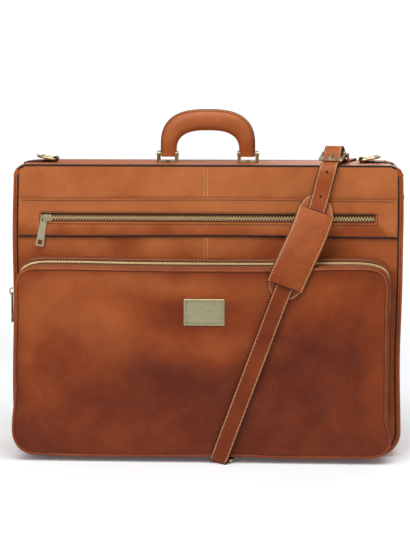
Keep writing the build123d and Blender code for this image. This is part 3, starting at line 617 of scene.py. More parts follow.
low, high = span("zip_pocket_pouch")
grid = sheet_grid((low[0], high[0], low[2], high[2]), (14, 4), low[1], 46, 24)
back = grid.copy()
puff = smooth((grid[..., 0] - low[0]) / 12) * smooth((high[0] - grid[..., 0]) / 12) * smooth(
    (grid[..., 2] - low[2]) / 12) * smooth((high[2] - grid[..., 2]) / 12)
back[..., 1] = low[1] + 0.7 + (1.5 + ripple(grid[..., 0], grid[..., 2], 31, 90, 1.4)) * puff
made = slab("zip_pocket_bag", grid, back, "lining", "lining_fabric", "front_half", wall_coat="webbing")
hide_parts("zip_pocket_pouch")
line = lay(outline((low[0], high[0], low[2], high[2]), (14, 4), True), 3.5, low[1] + 0.8)
sew("zip_pocket_bag_stitches", [(line, (0, 1, 0))], "tan_thread", "lining_fabric", "front_half")


def ribbon(name, path, across, width, thick, coat, slot, body=None, wall_coat="edge", round_by=0.9, crown=0.0,
           taper=None):
    """Flat strap along a path, with rounded edges; across is the way its width runs."""
    path = np.asarray(path, float)
    way = unit(np.gradient(path, axis=0))
    across = unit(np.broadcast_to(np.asarray(across, float), path.shape))
    up = unit(np.cross(across, way))
    across = unit(np.cross(way, up))
    wide = np.full(len(path), width / 2) if taper is None else np.asarray(taper) / 2
    h, r = thick / 2, min(round_by, thick / 2)
    section = [(-1, 0, -h + r), (-1, r * 0.3, -h + r * 0.3), (-1, r, -h), (-0.5, 0, -h), (0, 0, -h), (0.5, 0, -h),
               (1, -r, -h), (1, -r * 0.3, -h + r * 0.3), (1, 0, -h + r), (1, 0, h - r), (1, -r * 0.3, h - r * 0.3),
               (1, -r, h), (0.5, 0, h + crown * 0.8), (0, 0, h + crown), (-0.5, 0, h + crown * 0.8), (-1, r, h),
               (-1, r * 0.3, h - r * 0.3), (-1, 0, h - r)]
    rings = np.stack([path + across * (wide * s)[:, None] + across * extra + up * level
                      for s, extra, level in section], 1)
    dark = (17, 0, 1, 15, 16, 6, 7, 8, 9, 10) if wall_coat else ()
    return tube(name, rings, coat, slot, body, dark=dark), up, across


for k, z in enumerate((165.0, 300.0)):
    low, high = span("garment_straps")
    y = (low[1] + high[1]) / 2
    x = np.linspace(low[0], high[0], 80)
    path = xyz(x, y + 0.2 * np.sin(x / 31), z + 0.8 * np.sin(x / 67 + k))
    made, *_ = ribbon(f"garment_strap_{k + 1}", path, (0, 0, 1), 25.0, 1.6, "webbing", "zip_tape", "rear_half",
                              wall_coat=None)
    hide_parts("garment_straps")
    ends = []
    for side in (-1, 1):
        ex = side * (high[0] - 8)
        square = np.array([(ex - 6, -9), (ex + 6, -9), (ex + 6, 9), (ex - 6, 9), (ex - 6, -9)])
        ends.append((xyz(square[:, 0], y - 0.95, z + square[:, 1]), (0, -1, 0)))
    sew(f"garment_strap_stitches_{k + 1}", ends, "tan_thread", "zip_tape", "rear_half", pitch=2.6, length=1.9)

# Leather tabs over the upper ends of the case zip
low, high = span("zip_end_tabs")
for side in (-1, 1):
    box = (low[1], high[1], low[2], high[2])
    grid = sheet_grid(box, (3, 3), 0, 10, 14)
    turned = xyz(side * half_width, grid[..., 0], grid[..., 2])
    dome = smooth((grid[..., 0] - box[0]) / 3) * smooth((box[1] - grid[..., 0]) / 3)
    outer = turned.copy()
    outer[..., 0] += side * (1.15 + 0.4 * dome)
    made = slab(f"zip_end_tab_{'right' if side > 0 else 'left'}", outer, turned, "band", "band_leather", "rear_half",
                wall_coat="edge")
    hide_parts("zip_end_tabs")
    tab = outline(box, (3, 3), True, 3.0)
    line = lay(tab, 2.0, 0)
    path = xyz(side * (half_width + 1.3), line[:, 0], line[:, 2])
    sew(f"zip_end_tab_stitches_{'right' if side > 0 else 'left'}", [(path, (side, 0, 0))], "dark_thread",
        "band_leather", "rear_half", pitch=3.0, length=2.0)

# ---- spine

low, high = span("spine_leather")
sx, sy = high[0], high[1]
corner = np.array([half_width - case_radii[1], case_top - case_radii[1]])
turns = np.linspace(radians(74), radians(8), 30)
bow = [(corner[0] + r * sin(a), corner[1] + r * cos(a))
       for a, r in zip(turns, 17.3 - 2.1 * smooth((turns - radians(20)) / radians(45)))]
half_line = bow + [(273.0, 435.95), (266.0, 436.0), (256.0, 436.0)]
half_line += [(x, high[2]) for x in np.linspace(236, 0, 36)]
arch = np.array(half_line[:-1] + [(-x, z) for x, z in half_line[::-1]])
slope = unit(np.gradient(arch, axis=0))
lift = np.stack([slope[:, 1], -slope[:, 0]], 1)
ys = np.unique(np.concatenate([np.linspace(-sy, sy, 34), [sy - d for d in (0.4, 0.9, 1.6, 2.6)],
                               [d - sy for d in (0.4, 0.9, 1.6, 2.6)]]))
near_edge = sy - np.abs(ys)
roll = 1.1 * (1 - np.sqrt(np.clip(1 - (np.clip(1.6 - near_edge, 0, 1.6) / 1.6) ** 2, 0, 1)))
X, Y = np.repeat(arch[:, :1], len(ys), 1), np.repeat(ys[None], len(arch), 0)
free = smooth((np.abs(X) - 84) / 20) * (1 - smooth((np.abs(X) - 150) / 20))
dip = roll[None] - 0.25 * np.minimum(ripple(X, Y, 41, 170, 1.0), 0) * free
layers = []
# Past its corners the cover comes down onto the band.
past = np.abs(arch[:, :1]) - corner[0]
thick = np.where(past > 0, np.hypot(past, arch[:, 1:] - corner[1]) - 13.7, 2.6 + smooth((past + 3) / 3))
for depth in (dip, np.repeat(thick, len(ys), 1)):
    flat = arch[:, None] - lift[:, None] * depth[..., None]
    layers.append(case_bend(xyz(flat[..., 0], Y, flat[..., 1])))
painted = np.repeat((((near_edge[1:] + near_edge[:-1]) / 2) < 1.3)[None], len(arch) - 1, 0)
end_cover = half_width - 11.5
middles = (arch[1:, 0] + arch[:-1, 0]) / 2
painted[np.abs(middles) > end_cover] = False
painted[(np.abs(middles) > end_cover) & (np.abs(middles) < end_cover + 1.6)] = True
made = slab("spine_cover", layers[0], layers[1], "spine", "case_leather", "spine", wall_coat="edge", dark=painted)
made.data.materials.append(M["band"])
for face in made.data.polygons:
    if abs(face.center[0]) > (end_cover + 1.6) * MM:
        face.material_index = 2
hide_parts("spine_leather")
spine_ring = outline((-sx, sx, -sy, sy), (3, 3), True, 5.0)
line = lay(spine_ring, 5.0, 0)
line = line[np.abs(line[:, 0]) < 262]
lines = [line[line[:, 2] > 0], line[line[:, 2] < 0]]
sew("spine_stitches", [(xyz(p[:, 0], p[:, 2], high[2] - 0.1), (0, 0, 1)) for p in lines],
    "dark_thread", "case_leather", "spine")

# Leather hinges under the spine's edges, along the fold lines
for sign, word in ((-1, "front"), (1, "rear")):
    body = f"{word}_half"
    fold = [(58.9, 414.0), (58.9, 422.0), (58.8, 427.0), (57.8, 429.3), (55.4, 430.3), (51.0, 430.5), (40.0, 430.5)]
    fold = resample(np.array([(0, y, z) for y, z in fold], float), pitch=1.0)
    xs = np.linspace(-268, 268, 60)
    grid = xyz(xs[:, None], sign * fold[:, 1], fold[:, 2])
    tilt = unit(np.gradient(fold, axis=0))
    back = grid - xyz(0, -sign * tilt[:, 2], tilt[:, 1]) * 0.5
    made = slab(f"{word}_fold_hinge", grid, back, "trim", "case_leather", None, wall_coat="edge")
    if sign < 0:
        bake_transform(made)
    else:
        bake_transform(made)

# ---- zip pocket across the front

low, high = span("zip_pocket_panel")
overlay_front = low[1]
teeth_low, teeth_high = span("upper_zip_teeth")
tape_low, tape_high = span("upper_zip_tape")
chain_z = (teeth_low[2] + teeth_high[2]) / 2
chain_y = (teeth_low[1] + teeth_high[1]) / 2
slot_box = (teeth_low[0], teeth_high[0], 351.1, 362.4)
lip = 1.7
overlay_lift = 4.5
high[2] += overlay_lift
grid = sheet_grid((low[0], high[0], low[2], high[2]), (0.01, 0.01), low[1], 110, 12,
                  (slot_box[0] - lip * 0.6, *slot_box[:2], slot_box[1] + lip * 0.6),
                  (low[2] + 2.3, *slot_box[2:], slot_box[3] + lip))
around = (slot_box[0] - lip * 0.6, slot_box[1] + lip * 0.6, slot_box[2] - 0.1, slot_box[3] + lip)
painted = ~cells_outside(grid, around) | ~cells_outside(grid, (low[0], high[0], low[2] - 1, low[2] + 2.3))


def overlay_bend(points):
    points = case_bend(points)
    x, z = points[..., 0], points[..., 2]
    away = smooth((np.abs(z - chain_z) - 6) / 20)
    points[..., 2] += 0.9 * np.sin(x / 83 + 1.1) * away
    points[..., 1] -= 0.35 * ripple(x, z, 51, 120, 1.0) * away
    return points


keep = cells_outside(grid, slot_box)
back = grid.copy()
back[..., 1] = high[1]
to_slot = np.minimum(np.abs(grid[..., 2] - slot_box[2]), np.abs(grid[..., 2] - slot_box[3]))
grid[..., 1] += 0.25 * (1 - smooth(to_slot / 4))
made = slab("zip_pocket_overlay", overlay_bend(grid), overlay_bend(back), "overlay", "case_leather", "front_half", keep,
            "edge", painted)
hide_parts("zip_pocket_panel")
runs, face_y = [], overlay_front - 0.05
across = np.linspace(low[0] + 4, high[0] - 4, 120)
for z in (low[2] + 3.2, high[2] - 3.0):
    runs.append((xyz(across, face_y, z), (0, -1, 0)))
left, right, bottom, top_z = slot_box[0] - 4, slot_box[1] + 4, slot_box[2] - 3.2, slot_box[3] + 3.2
loop = [(left, bottom), (right, bottom), (right, top_z), (left, top_z), (left, bottom)]
path = resample(np.array([(x, face_y, z) for x, z in loop], float), pitch=4)
runs.append((path, (0, -1, 0)))
sew("zip_pocket_stitches", [(overlay_bend(p), n) for p, n in runs], "dark_thread", "case_leather", "front_half",
    pitch=4.1)

for side, word in ((-1, "lower"), (1, "upper")):
    xs = np.linspace(tape_low[0], tape_high[0], 100)
    flat = [(3.0, -1.0), (4.4, -1.0), (5.0, -0.4), (12.2, -0.4), (12.2, 0.4), (5.0, 0.4), (4.4, 1.0), (3.0, 1.0)]
    rings = np.stack([xyz(xs, chain_y + d, chain_z + side * v) for v, d in flat], 1)
    made = tube(f"{word}_front_zip_tape", rings, "tape", "zip_tape", "front_half")
    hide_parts("upper_zip_tape")
chain = np.array([(teeth_low[0] + 1, chain_y, chain_z), (teeth_high[0] - 1, chain_y, chain_z)], float)
made = teeth("front_zip_chain", [(chain, (0, -1, 0), (0, 0, 1), 0.0), (chain, (0, -1, 0), (0, 0, -1), 0.5)],
             "front_half")
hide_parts("upper_zip_teeth")

# ---- bellows pocket

pocket_low, pocket_high = span("pocket_panel")
pocket_box = (pocket_low[0], pocket_high[0], pocket_low[2], pocket_high[2])
pocket_radii = (32.0, 40.0)
pocket_face = pocket_low[1]
pocket_zip_y = (span("pocket_zip_teeth")[0][1] + span("pocket_zip_teeth")[1][1]) / 2
pocket_back = span("pocket_gusset")[1][1]
pocket_zip_end = span("pocket_zip_strips")[0][2]
pocket_ring = outline(pocket_box, pocket_radii, True, 4.0)
pl, pr, pb, pt = pocket_box


def pocket_bend(points):
    """Slack of the pocket: its top slopes, its floor sags, and its sides draw in between front and back."""
    points = np.array(points, float)
    x, y, z = points[..., 0].copy(), points[..., 1].copy(), points[..., 2].copy()
    ahead = np.clip((pocket_zip_y - y) / (pocket_zip_y - pocket_face), -0.9, 1.05)
    top_share = smooth((z - 232) / 50)
    fall = 5.6 - 1.6 * smooth((x - 90) / 120)
    step = np.sin(pi / 2 * np.clip((pocket_zip_y - y) / 6.2, -1, 1))
    slant = 0.82 * step + 0.18 * ahead
    points[..., 2] -= top_share * slant * np.where(slant > 0, fall, 5.2)
    points[..., 2] += smooth((z - 246) / 40) * (
        3.8 + 1.6 * bell(x, -215, 90) + 2.2 * bell(x, 215, 90))
    corner = np.exp(-(((np.abs(x + 2) - 261) / 17) ** 2) - ((z - 277) / 17) ** 2)
    points[..., 0] += 5.0 * corner * np.sign(x)
    points[..., 2] += 2.5 * corner
    floor_share = 1 - smooth((z - pb) / 55)
    front = smooth(-(y + 66) / 46)
    under_hook = bell(x, 45, 60)
    points[..., 2] -= floor_share * front * (6.0 - 3.4 * under_hook + 0.7 * np.sin(x / 41)) * (
        1 - 0.45 * np.abs(x / pr) ** 3)
    front = np.clip(ahead, 0, 1)
    side_left, side_right = smooth((-x - 215) / 60), smooth((x - 205) / 65)
    upper = smooth((z - 22) / 50)
    points[..., 0] -= side_left * front * (-2.6 * bell(z, 235, 50) + 4.5 * (1 - smooth((z - 40) / 70)))
    points[..., 0] -= side_right * front * (7.5 * upper * (1 - 0.25 * smooth((z - 230) / 50)) - 2.0 * (1 - upper))
    between = np.sin(pi * np.clip((y - pocket_face) / (pocket_back - pocket_face), 0, 1)) ** 1.5
    middle = smooth((z - 36) / 60) * (1 - smooth((z - 190) / 50))
    points[..., 0] += (smooth((-x - 262) / 16) - smooth((x - 256) / 16)) * between * middle * 5.0
    low_fold = bell(z, 62, 26) * smooth((-x - 255) / 20)
    points[..., 0] -= low_fold * between * 6.0
    return points


def pocket_face_wave(points):
    """Soft folds of the pocket's front, which stays flat behind its plaque."""
    x, z = points[..., 0], points[..., 2]
    folds = (
        ridge(x, z, (-255, 262), (-60, 168), 30, 2.4) + ridge(x, z, (-262, 205), (-120, 120), 34, -2.2)
        + ridge(x, z, (-150, 262), (10, 246), 22, -1.8) + ridge(x, z, (-20, 160), (60, 120), 40, 1.6)
        + ridge(x, z, (-60, 130), (40, 60), 50, -2.2) + ridge(x, z, (150, 240), (225, 90), 44, 1.6)
        + ridge(x, z, (90, 230), (130, 120), 30, -1.6) + ridge(x, z, (-250, 70), (-190, 20), 26, 1.6)
        + ridge(x, z, (245, 70), (215, 20), 24, 1.8) + ridge(x, z, (-230, 250), (-240, 60), 16, 1.2)
    )
    folds = folds + ripple(x, z, 61, 130, 0.9)
    edge = smooth(np.minimum(np.minimum(x - pl, pr - x), np.minimum(z - pb, pt - z)) / 26)
    plaque = smooth(np.maximum(np.abs(x) / 34, np.abs(z - 223.8) / 24) - 0.95)
    strap_x = 22 + (z - 8) * 0.37
    under_strap = 1 - np.exp(-(((x - strap_x) / 30) ** 4))
    raised, sunk = np.minimum(folds, 2.4) * (0.25 + 0.75 * under_strap), folds * (0.7 + 0.3 * under_strap)
    out = np.where(folds > 0, raised, sunk)
    points[..., 1] -= out * edge * plaque
    return points


grid = sheet_grid(pocket_box, pocket_radii, pocket_face, 120, 70)
back = grid.copy()
grid = pocket_face_wave(grid)
back[..., 1] = grid[..., 1] + 2.4
made = slab("pocket_front", pocket_bend(grid), pocket_bend(back), "pocket", "pocket_leather", "front_half")
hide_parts("pocket_panel")

bead, cord_r = 1.9, 1.95
rings = [(bead - cord_r * cos(a), pocket_face - 0.15 - cord_r * sin(a)) for a in np.linspace(0, 2 * pi, 13)[:-1]]
made = swept("pocket_rolled_edge", pocket_ring, rings, pocket_bend, "trim", "pocket_leather", "front_half", True)
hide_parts("pocket_piping")
# A dark strip of painted shadow where the rolled edge meets the pocket's front.
shadow_line = [(3.1, pocket_face + 0.6), (3.1, pocket_face - 0.1), (3.5, pocket_face - 0.32), (4.3, pocket_face - 0.3),
          (4.9, pocket_face + 0.1), (4.9, pocket_face + 0.6)]
swept("pocket_front_shadow_line", pocket_ring, shadow_line, pocket_bend, "shadow_line", "pocket_leather", "front_half", True)


def split_ring(ring, above):
    """The stretch of the pocket's outline above or below the ends of its zip."""
    points, normals = ring
    keep_it = points[:, 1] > pocket_zip_end - 0.01 if above else points[:, 1] <= pocket_zip_end + 3.9
    start = int(np.argmax(~keep_it & np.roll(keep_it, -1))) + 1
    order = (np.arange(len(points)) + start) % len(points)
    order = order[keep_it[order]]
    return points[order], normals[order]


zip_ring, low_ring = split_ring(pocket_ring, True), split_ring(pocket_ring, False)
second = 5.2
ys = np.linspace(pocket_face + 9.4, pocket_back - 0.6, 14)
fold_lines = [(1.7, pocket_face + 1.8), (1.3, pocket_face + 2.7), (-0.5, pocket_face + 3.5),
              (-1.5, pocket_face + second), (-0.9, pocket_face + 6.9), (0.9, pocket_face + 7.9)]
profile = (fold_lines
           + [(0.1, y) for y in ys] + [(0.6, pocket_back), (2.2, pocket_back)]
           + [(2.4, y) for y in ys[::-1]] + [(2.4, pocket_face + second), (2.2, pocket_face + 2.0)])
# The gusset skin's first two strips, just behind the rolled edge, are dark: painted shadow in the seam there.
made = swept("pocket_gusset_skin", low_ring, profile, pocket_bend, "trim", "pocket_leather", "front_half", False,
             dark=(0, 1))
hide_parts("pocket_gusset")
half_groove = 5.5
near, far = pocket_zip_y - half_groove, pocket_zip_y + half_groove
front_strip = [*fold_lines, (0.0, pocket_face + 9.4), (0.0, near - 5), (0.0, near - 0.5), (0.5, near), (1.9, near),
               (2.4, near - 0.5), (2.4, near - 5), (2.4, pocket_face + second), (2.2, pocket_face + 2.0)]
back_strip = [(0.5, far), (0.0, far + 0.5), (0.0, far + 6), (0.1, pocket_back - 5), (0.1, pocket_back - 1.5),
              (0.6, pocket_back), (2.2, pocket_back), (2.4, pocket_back - 1.5), (2.4, far + 6), (2.4, far + 0.5),
              (1.9, far)]
for word, profile in (("front", front_strip), ("back", back_strip)):
    # On the front strip, the first two strips just behind the rolled edge are also dark, as painted shadow.
    made = swept(f"pocket_zip_{word}_strip", zip_ring, profile, pocket_bend, "trim", "pocket_leather", "front_half",
                 False, dark=(0, 1) if word == "front" else ())
    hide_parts("pocket_zip_strips")
runs = [(pocket_bend(lay(zip_ring, -0.05, y)), outward(zip_ring))
        for y in (near - 2.6, far + 2.6)]
runs += [(pocket_bend(lay(ring, 0.0, pocket_back - 3.4)), outward(ring)) for ring in (low_ring, zip_ring)]
sew("pocket_stitches", runs, "dark_thread", "pocket_leather", "front_half")

# The slack chain rides up between its corners.
pocket_inset = 2.9
ring_x, ring_z = zip_ring[0].T
rise = 2.2 * smooth((ring_x + 268) / 40) * smooth((258 - ring_x) / 40) * smooth((ring_z - 280) / 8)
for side in (-1, 1):
    profile = [(-0.9, 2.9), (-0.9, 4.4), (-0.35, 5.0), (-0.35, 14.0), (0.4, 14.0), (0.9, 4.4), (0.9, 2.9)]
    profile = [(pocket_inset + inset - rise, pocket_zip_y + side * y) for inset, y in profile]
    made = swept(f"pocket_zip_{'front' if side < 0 else 'back'}_tape", zip_ring, profile, pocket_bend, "tape",
                 "zip_tape", "front_half", False)
    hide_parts("pocket_zip_tape")
chain = pocket_bend(lay(zip_ring, pocket_inset - rise, pocket_zip_y))
made = teeth("pocket_zip_chain", [(chain, outward(zip_ring), (0, side, 0), 0.25 * (1 + side)) for side in (-1, 1)],
             "front_half")
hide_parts("pocket_zip_teeth")

# A raised line just inside the plaque's edge; the plaque is left blank.
low, high = span("blank_plaque")
ring = outline((low[0] + 3.2, high[0] - 3.2, low[2] + 3.2, high[2] - 3.2), (1.0, 1.0), True, 6.0)
rings = np.stack([lay(ring, i, low[1] + d) for i, d in ((0, 0.1), (0.1, -0.12), (0.45, -0.12), (0.55, 0.1))], 1)
tube("plaque_border", rings, "bronze", "antique_brass", "front_half", loop=True)

# ---- handle

low, high = span("handle_grip")
edge, foot, top_z = high[0], low[2], high[2]
leg, grip_low, deep = 23.7, 484.2, (high[1] - low[1]) / 2
rise_at, bow = 15.0, 2 / 2.7
half_arch = np.linspace(0, pi / 2, 34)
legs = np.linspace(0, 1, 8)[:-1]


def arch_line(reach_x, start, top):
    """Half of a bowed arch on a straight leg, mirrored to the other side."""
    xs = np.concatenate([np.full(len(legs), reach_x), reach_x * np.cos(half_arch) ** bow])
    zs = np.concatenate([foot + legs * (start - foot), start + (top - start) * np.sin(half_arch) ** bow])
    return np.vstack([np.stack([-xs, zs], 1), np.stack([xs, zs], 1)[-2::-1]])


outer_line = arch_line(edge, foot + rise_at, top_z)
inner_line = arch_line(edge - leg, foot + rise_at - 7, grip_low)
centre, reach = (outer_line + inner_line) / 2, (outer_line - inner_line) / 2
height = centre[:, 1]
half_deep = 7.0 + (deep - 7.0) * smooth((height - foot) / (474 - foot))
turns = np.linspace(0, 2 * pi, 33)[:-1]
rings = []
for c, r, d in zip(centre, reach, half_deep):
    ring = []
    for a in turns:
        lobe = np.sign(cos(a)) * abs(cos(a)) ** 0.86
        pinch = 1 - 0.30 * max(0.0, cos(a)) ** 5
        ring.append((c[0] + r[0] * lobe, d * pinch * np.sign(sin(a)) * abs(sin(a)) ** 0.9, c[1] + r[1] * lobe))
    rings.append(ring)
rings = np.array(rings)
made = tube("handle_wrap", rings, "handle", "handle_leather", "handle")
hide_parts("handle_grip")
runs = []
for k in (3, len(turns) - 3):
    normal = unit(rings[:, k] - xyz(centre[:, 0], 0, centre[:, 1]))
    runs.append((rings[2:-2, k] + normal[2:-2] * 0.1, normal[2:-2]))
sew("handle_stitches", runs, "dark_thread", "handle_leather", "handle", pitch=3.3, length=2.3)
ridge_line = rings[1:-1, 0]
way = unit(np.gradient(ridge_line, axis=0))
seam = np.stack([ridge_line + np.array([0, 0.8 * sin(a), 0]) + np.cross(way, [0, -1, 0]) * 0.7 * cos(a)
                 for a in np.linspace(0, 2 * pi, 9)[:-1]], 1)
tube("handle_seam_edge", seam, "edge", "handle_leather", "handle")

# ---- tabs for the D-rings

low, high = span("d_ring_tabs")
ring_x, ring_z, wrap_r = 232.0, 440.5, 3.4
for side in (-1, 1):
    line = [(high[0] - 1.5, spine_top - 1.4), (high[0] - 5, spine_top + 0.3), (high[0] - 12, spine_top + 0.95),
            (ring_x + 12, spine_top + 1.15)]
    line += [(ring_x + wrap_r * sin(a), ring_z - wrap_r * cos(a)) for a in np.linspace(0, -pi * 1.32, 18)]
    line += [(ring_x + 8.5, spine_top + 2.9), (ring_x + 14, spine_top + 2.75), (ring_x + 20, spine_top + 2.6)]
    path = resample(np.array([(side * x, 0, z) for x, z in line], float), pitch=1.3)
    made, *_ = ribbon(f"d_ring_tab_{'right' if side > 0 else 'left'}", path, (0, 1, 0), 23.0, 1.7, "strap",
                              "strap_leather", "spine")
    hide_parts("d_ring_tabs")
    xs = np.linspace(side * (ring_x + 22), side * (high[0] - 12), 16)
    rows = [(xyz(xs, y, spine_top + 2.0), (0, 0, 1)) for y in (-8.6, 8.6)]
    sew(f"d_ring_tab_stitches_{'right' if side > 0 else 'left'}", rows, "dark_thread", "strap_leather", "spine",
        pitch=3.4)

# ---- shoulder strap

lean = radians(20.3)
foot_x, foot_z = 22.0, 8.0
lean_way = np.array([sin(lean), 0, cos(lean)])
lean_across = np.array([cos(lean), 0, -sin(lean)])


def on_strap(s, h, side=0.0):
    """Point at a distance s up the front run, h in front of the case's middle, and to one side."""
    s, h = np.asarray(s, float), np.asarray(h, float)
    return (np.array([foot_x, 0, foot_z]) + s[..., None] * lean_way + side * lean_across
            + h[..., None] * np.array([0, -1, 0]))




def drift(s):
    """How far the strap leaves its straight line where it comes off the pocket."""
    return lean_across * (7.5 * bell(s, 372, 62.0))[:, None]


yaw = radians(15.0)
cross_way, cross_side = np.array([sin(yaw), cos(yaw), 0]), np.array([cos(yaw), -sin(yaw), 0])
cross_at = np.array([182.0, panel_y, 0])


def on_top(t, z, side=0.0):
    """Point at a distance t along the run over the top, at a height z, and to one side."""
    return cross_at + np.asarray(t)[..., None] * cross_way + np.asarray(z)[..., None] * np.array([0, 0, 1]) + (
        side * cross_side)


def curve(points, count):
    """A smooth line through points, by a Catmull-Rom spline."""
    p = np.asarray(points, float)
    p = np.vstack([2 * p[0] - p[1], p, 2 * p[-1] - p[-2]])
    out = []
    for k in range(1, len(p) - 2):
        t = np.linspace(0, 1, 14)[:-1, None]
        a, b, c, d = p[k - 1], p[k], p[k + 1], p[k + 2]
        out.append(0.5 * (2 * b + (c - a) * t + (2 * a - 5 * b + 4 * c - d) * t**2 + (3 * b - a - 3 * c + d) * t**3))
    return resample(np.vstack(out + [p[-2:-1]]), count=count)


strap_width, strap_thick = 27.0, 2.9
strap_seam = {"pitch": 3.9, "length": 2.5}
front_s = np.array([6, 40, 110, 180, 250, 292, 306, 320, 360, 405, 424, 440, 449])
front_h = np.array([119, 119, 119, 119, 119, 118.6, 116.8, 111.8, 93.6, 73.6, 68.2, 67.0, 66.6])
front_run = on_strap(front_s, front_h)
front_run += drift(front_s)
turn = radians(40)
hook_way, hook_side = np.array([sin(turn), cos(turn), 0]), np.array([-cos(turn), sin(turn), 0])
eye = np.array([27.0, -104.0, 4.2])
curl = np.array([eye + hook_way * -2.0 + (0, 0, -2.5), eye + hook_way * -7.5 + (-0.6, 0, -2.4), (21.9, -114.2, 2.3),
                 (21.0, -117.4, 6.0)])
tip_run = on_top(np.array([1.0, 13.5, 25.5, 36.0, 50.0, 64.5]), np.array([437.6, 441.0, 458.6, 460.9, 449.6, 445.0]))
line_a = curve(np.vstack([curl, front_run, tip_run]), 240)
share = smooth((line_a[:, 2] - 415) / 25)[:, None]
low_share = 1 - smooth((line_a[:, 2] - 2) / 14)[:, None]
across_a = unit(lean_across * (1 - share) * (1 - low_share) + cross_side * share - hook_side * low_share)
made, up_a, side_a = ribbon("shoulder_strap_front_run", line_a, across_a, strap_width, strap_thick,
                           "strap", "strap_leather", None)
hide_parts("shoulder_strap_front", "shoulder_strap_tip")
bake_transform(made)


def strap_seams(line, up, side, start, end):
    """The two rows of stitches on one face of a strap."""
    line, up, side = line[start:end], up[start:end], side[start:end]
    return [(line + side * s * (strap_width / 2 - 2.6) + up * 1.5, up) for s in (-1, 1)]


face = np.sign((up_a @ np.array([0, -1, 0.3])).mean())
made = sew("shoulder_strap_front_stitches", strap_seams(line_a, up_a * face, side_a, 2, 226), "tan_thread",
           "strap_leather", None, **strap_seam)
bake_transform(made)
# The punched holes are dark dishes on the strap's face: their near-black colour is painted shade in the holes.
hole_points, hole_faces = [], []
for s in (446.0, 409.0):
    k = int(np.argmin(np.linalg.norm(line_a - on_strap(s, 70), axis=1)))
    base = len(hole_points)
    middle, n, b = line_a[k] + up_a[k] * face * 1.47, up_a[k] * face, side_a[k]
    w = np.cross(b, n)
    for radius, drop in ((2.0, 0.0), (1.9, 0.12), (1.2, 0.05), (0.01, 0.0)):
        for a in np.linspace(0, 2 * pi, 15)[:-1]:
            hole_points.append(middle + (b * cos(a) + w * sin(a)) * radius + n * drop)
    hole_faces += [[base + v for v in f] for f in weave(4, 14, False, True)]
made = piece("strap_holes", hole_points, hole_faces, "edge", "strap_leather", None)
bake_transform(made)

# Folded end of the front run, round the eye of its hook
loop_line = [(-7.0, 2.4), (-3.0, 2.7)] + [(2.9 * sin(a), 2.9 * cos(a)) for a in np.linspace(0, pi, 9)]
path = resample(np.array([eye + hook_way * u + (0, 0, v) for u, v in loop_line]), pitch=1.2)
made, *_ = ribbon("front_strap_end", path, hook_side, 26.0, 1.5, "strap", "strap_leather", "front_half")
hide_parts("shoulder_strap_front")

# Rear run, from the buckle's bar over the spine and down the back to its hook
top_run = on_top(np.array([32.5, 40, 56, 70, 95, 112, 121]),
                 np.array([448.2, 445.6, 440.2, 438.1, 438.0, 438.0, 437.2]))
rear_points = [(64.2, 431), (64.3, 420), (64.0, 380), (64.0, 300), (64.3, 235), (66.5, 200), (70.5, 170), (72.6, 140),
               (73.0, 115), (73.0, 101)]
rear_x = 215.0
down = np.array([(rear_x, y, z) for y, z in rear_points])
line_b = curve(np.vstack([top_run, down]), 220)
share = smooth((line_b[:, 1] - 30) / 32)[:, None]
across_b = unit(cross_side * (1 - share) + np.array([1.0, 0, 0]) * share)
made, up_b, side_b = ribbon("shoulder_strap_rear_run", line_b, across_b, strap_width, strap_thick,
                           "strap", "strap_leather", None)
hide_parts("shoulder_strap_top", "shoulder_strap_rear")
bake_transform(made)
out = np.sign((up_b @ np.array([0, 0.6, 0.4])).mean())
made = sew("shoulder_strap_rear_stitches", strap_seams(line_b, up_b * out, side_b, 3, 216), "tan_thread",
           "strap_leather", None, **strap_seam)
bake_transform(made)

bar = on_top(np.array(31.0), np.array(453.0))
for side in (-1, 1):
    wrap = [bar + cross_way * 3.3 * cos(a) + np.array([0, 0, 3.3 * sin(a)]) + cross_side * side * 8.0
            for a in np.linspace(-pi * 0.5, pi * 1.15, 22)]
    made, *_ = ribbon(f"buckle_wrap_{'outer' if side > 0 else 'inner'}", wrap, cross_side, 10.6, 1.7, "strap",
                              "strap_leather", "spine")

# Folded end of the rear run, round the eye of its hook
round_eye = [(73.0 + 3.0 * cos(a), 88.0 + 3.0 * sin(a)) for a in np.linspace(0.35, -pi - 0.35, 20)]
path = [(75.0, 101.5), (76.0, 95.0)] + round_eye + [(70.0, 95.0), (71.0, 101.5)]
path = resample(np.array([(rear_x, y, z) for y, z in path]), pitch=1.2)
made, *_ = ribbon("rear_strap_end", path, (1, 0, 0), 26.0, 1.6, "strap", "strap_leather", "rear_half")
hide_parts("shoulder_strap_rear")

# Keeper: a leather band round the strap and its tip
low, high = span("strap_keeper")
ring = outline((-15.0, 15.0, low[2] + 0.4, high[2] - 0.4), (2.5, 2.5), True, 2.0)
rings = []
for along, inset in ((0, 0.25), (0.25, 0.0), (9.75, 0.0), (10, 0.25), (10, 0.9), (9.75, 1.1), (0.25, 1.1), (0, 0.9)):
    flat = ring[0] - ring[1] * inset
    rings.append(cross_at + cross_way * (55 + along) + flat[:, :1] * cross_side + flat[:, 1:] * np.array([0, 0, 1]))
made = tube("strap_keeper_loop", np.stack(rings, 1), "strap", "strap_leather", "spine", loop=True)
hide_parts("strap_keeper")

# Shoulder pad: a base with round ends behind the strap, and a cover in front of it
def pad_height(s, lift):
    """How far a pad lies in front of the case's middle, flat over the pocket and sloping above it."""
    slope = (66.3 - 119.0) / (418.0 - 306.0)
    bend = np.where(s > 306, slope * (s - 306), 0.0)
    return 119.0 + lift + bend - 2.2 * bell(s, 306, 9.0)


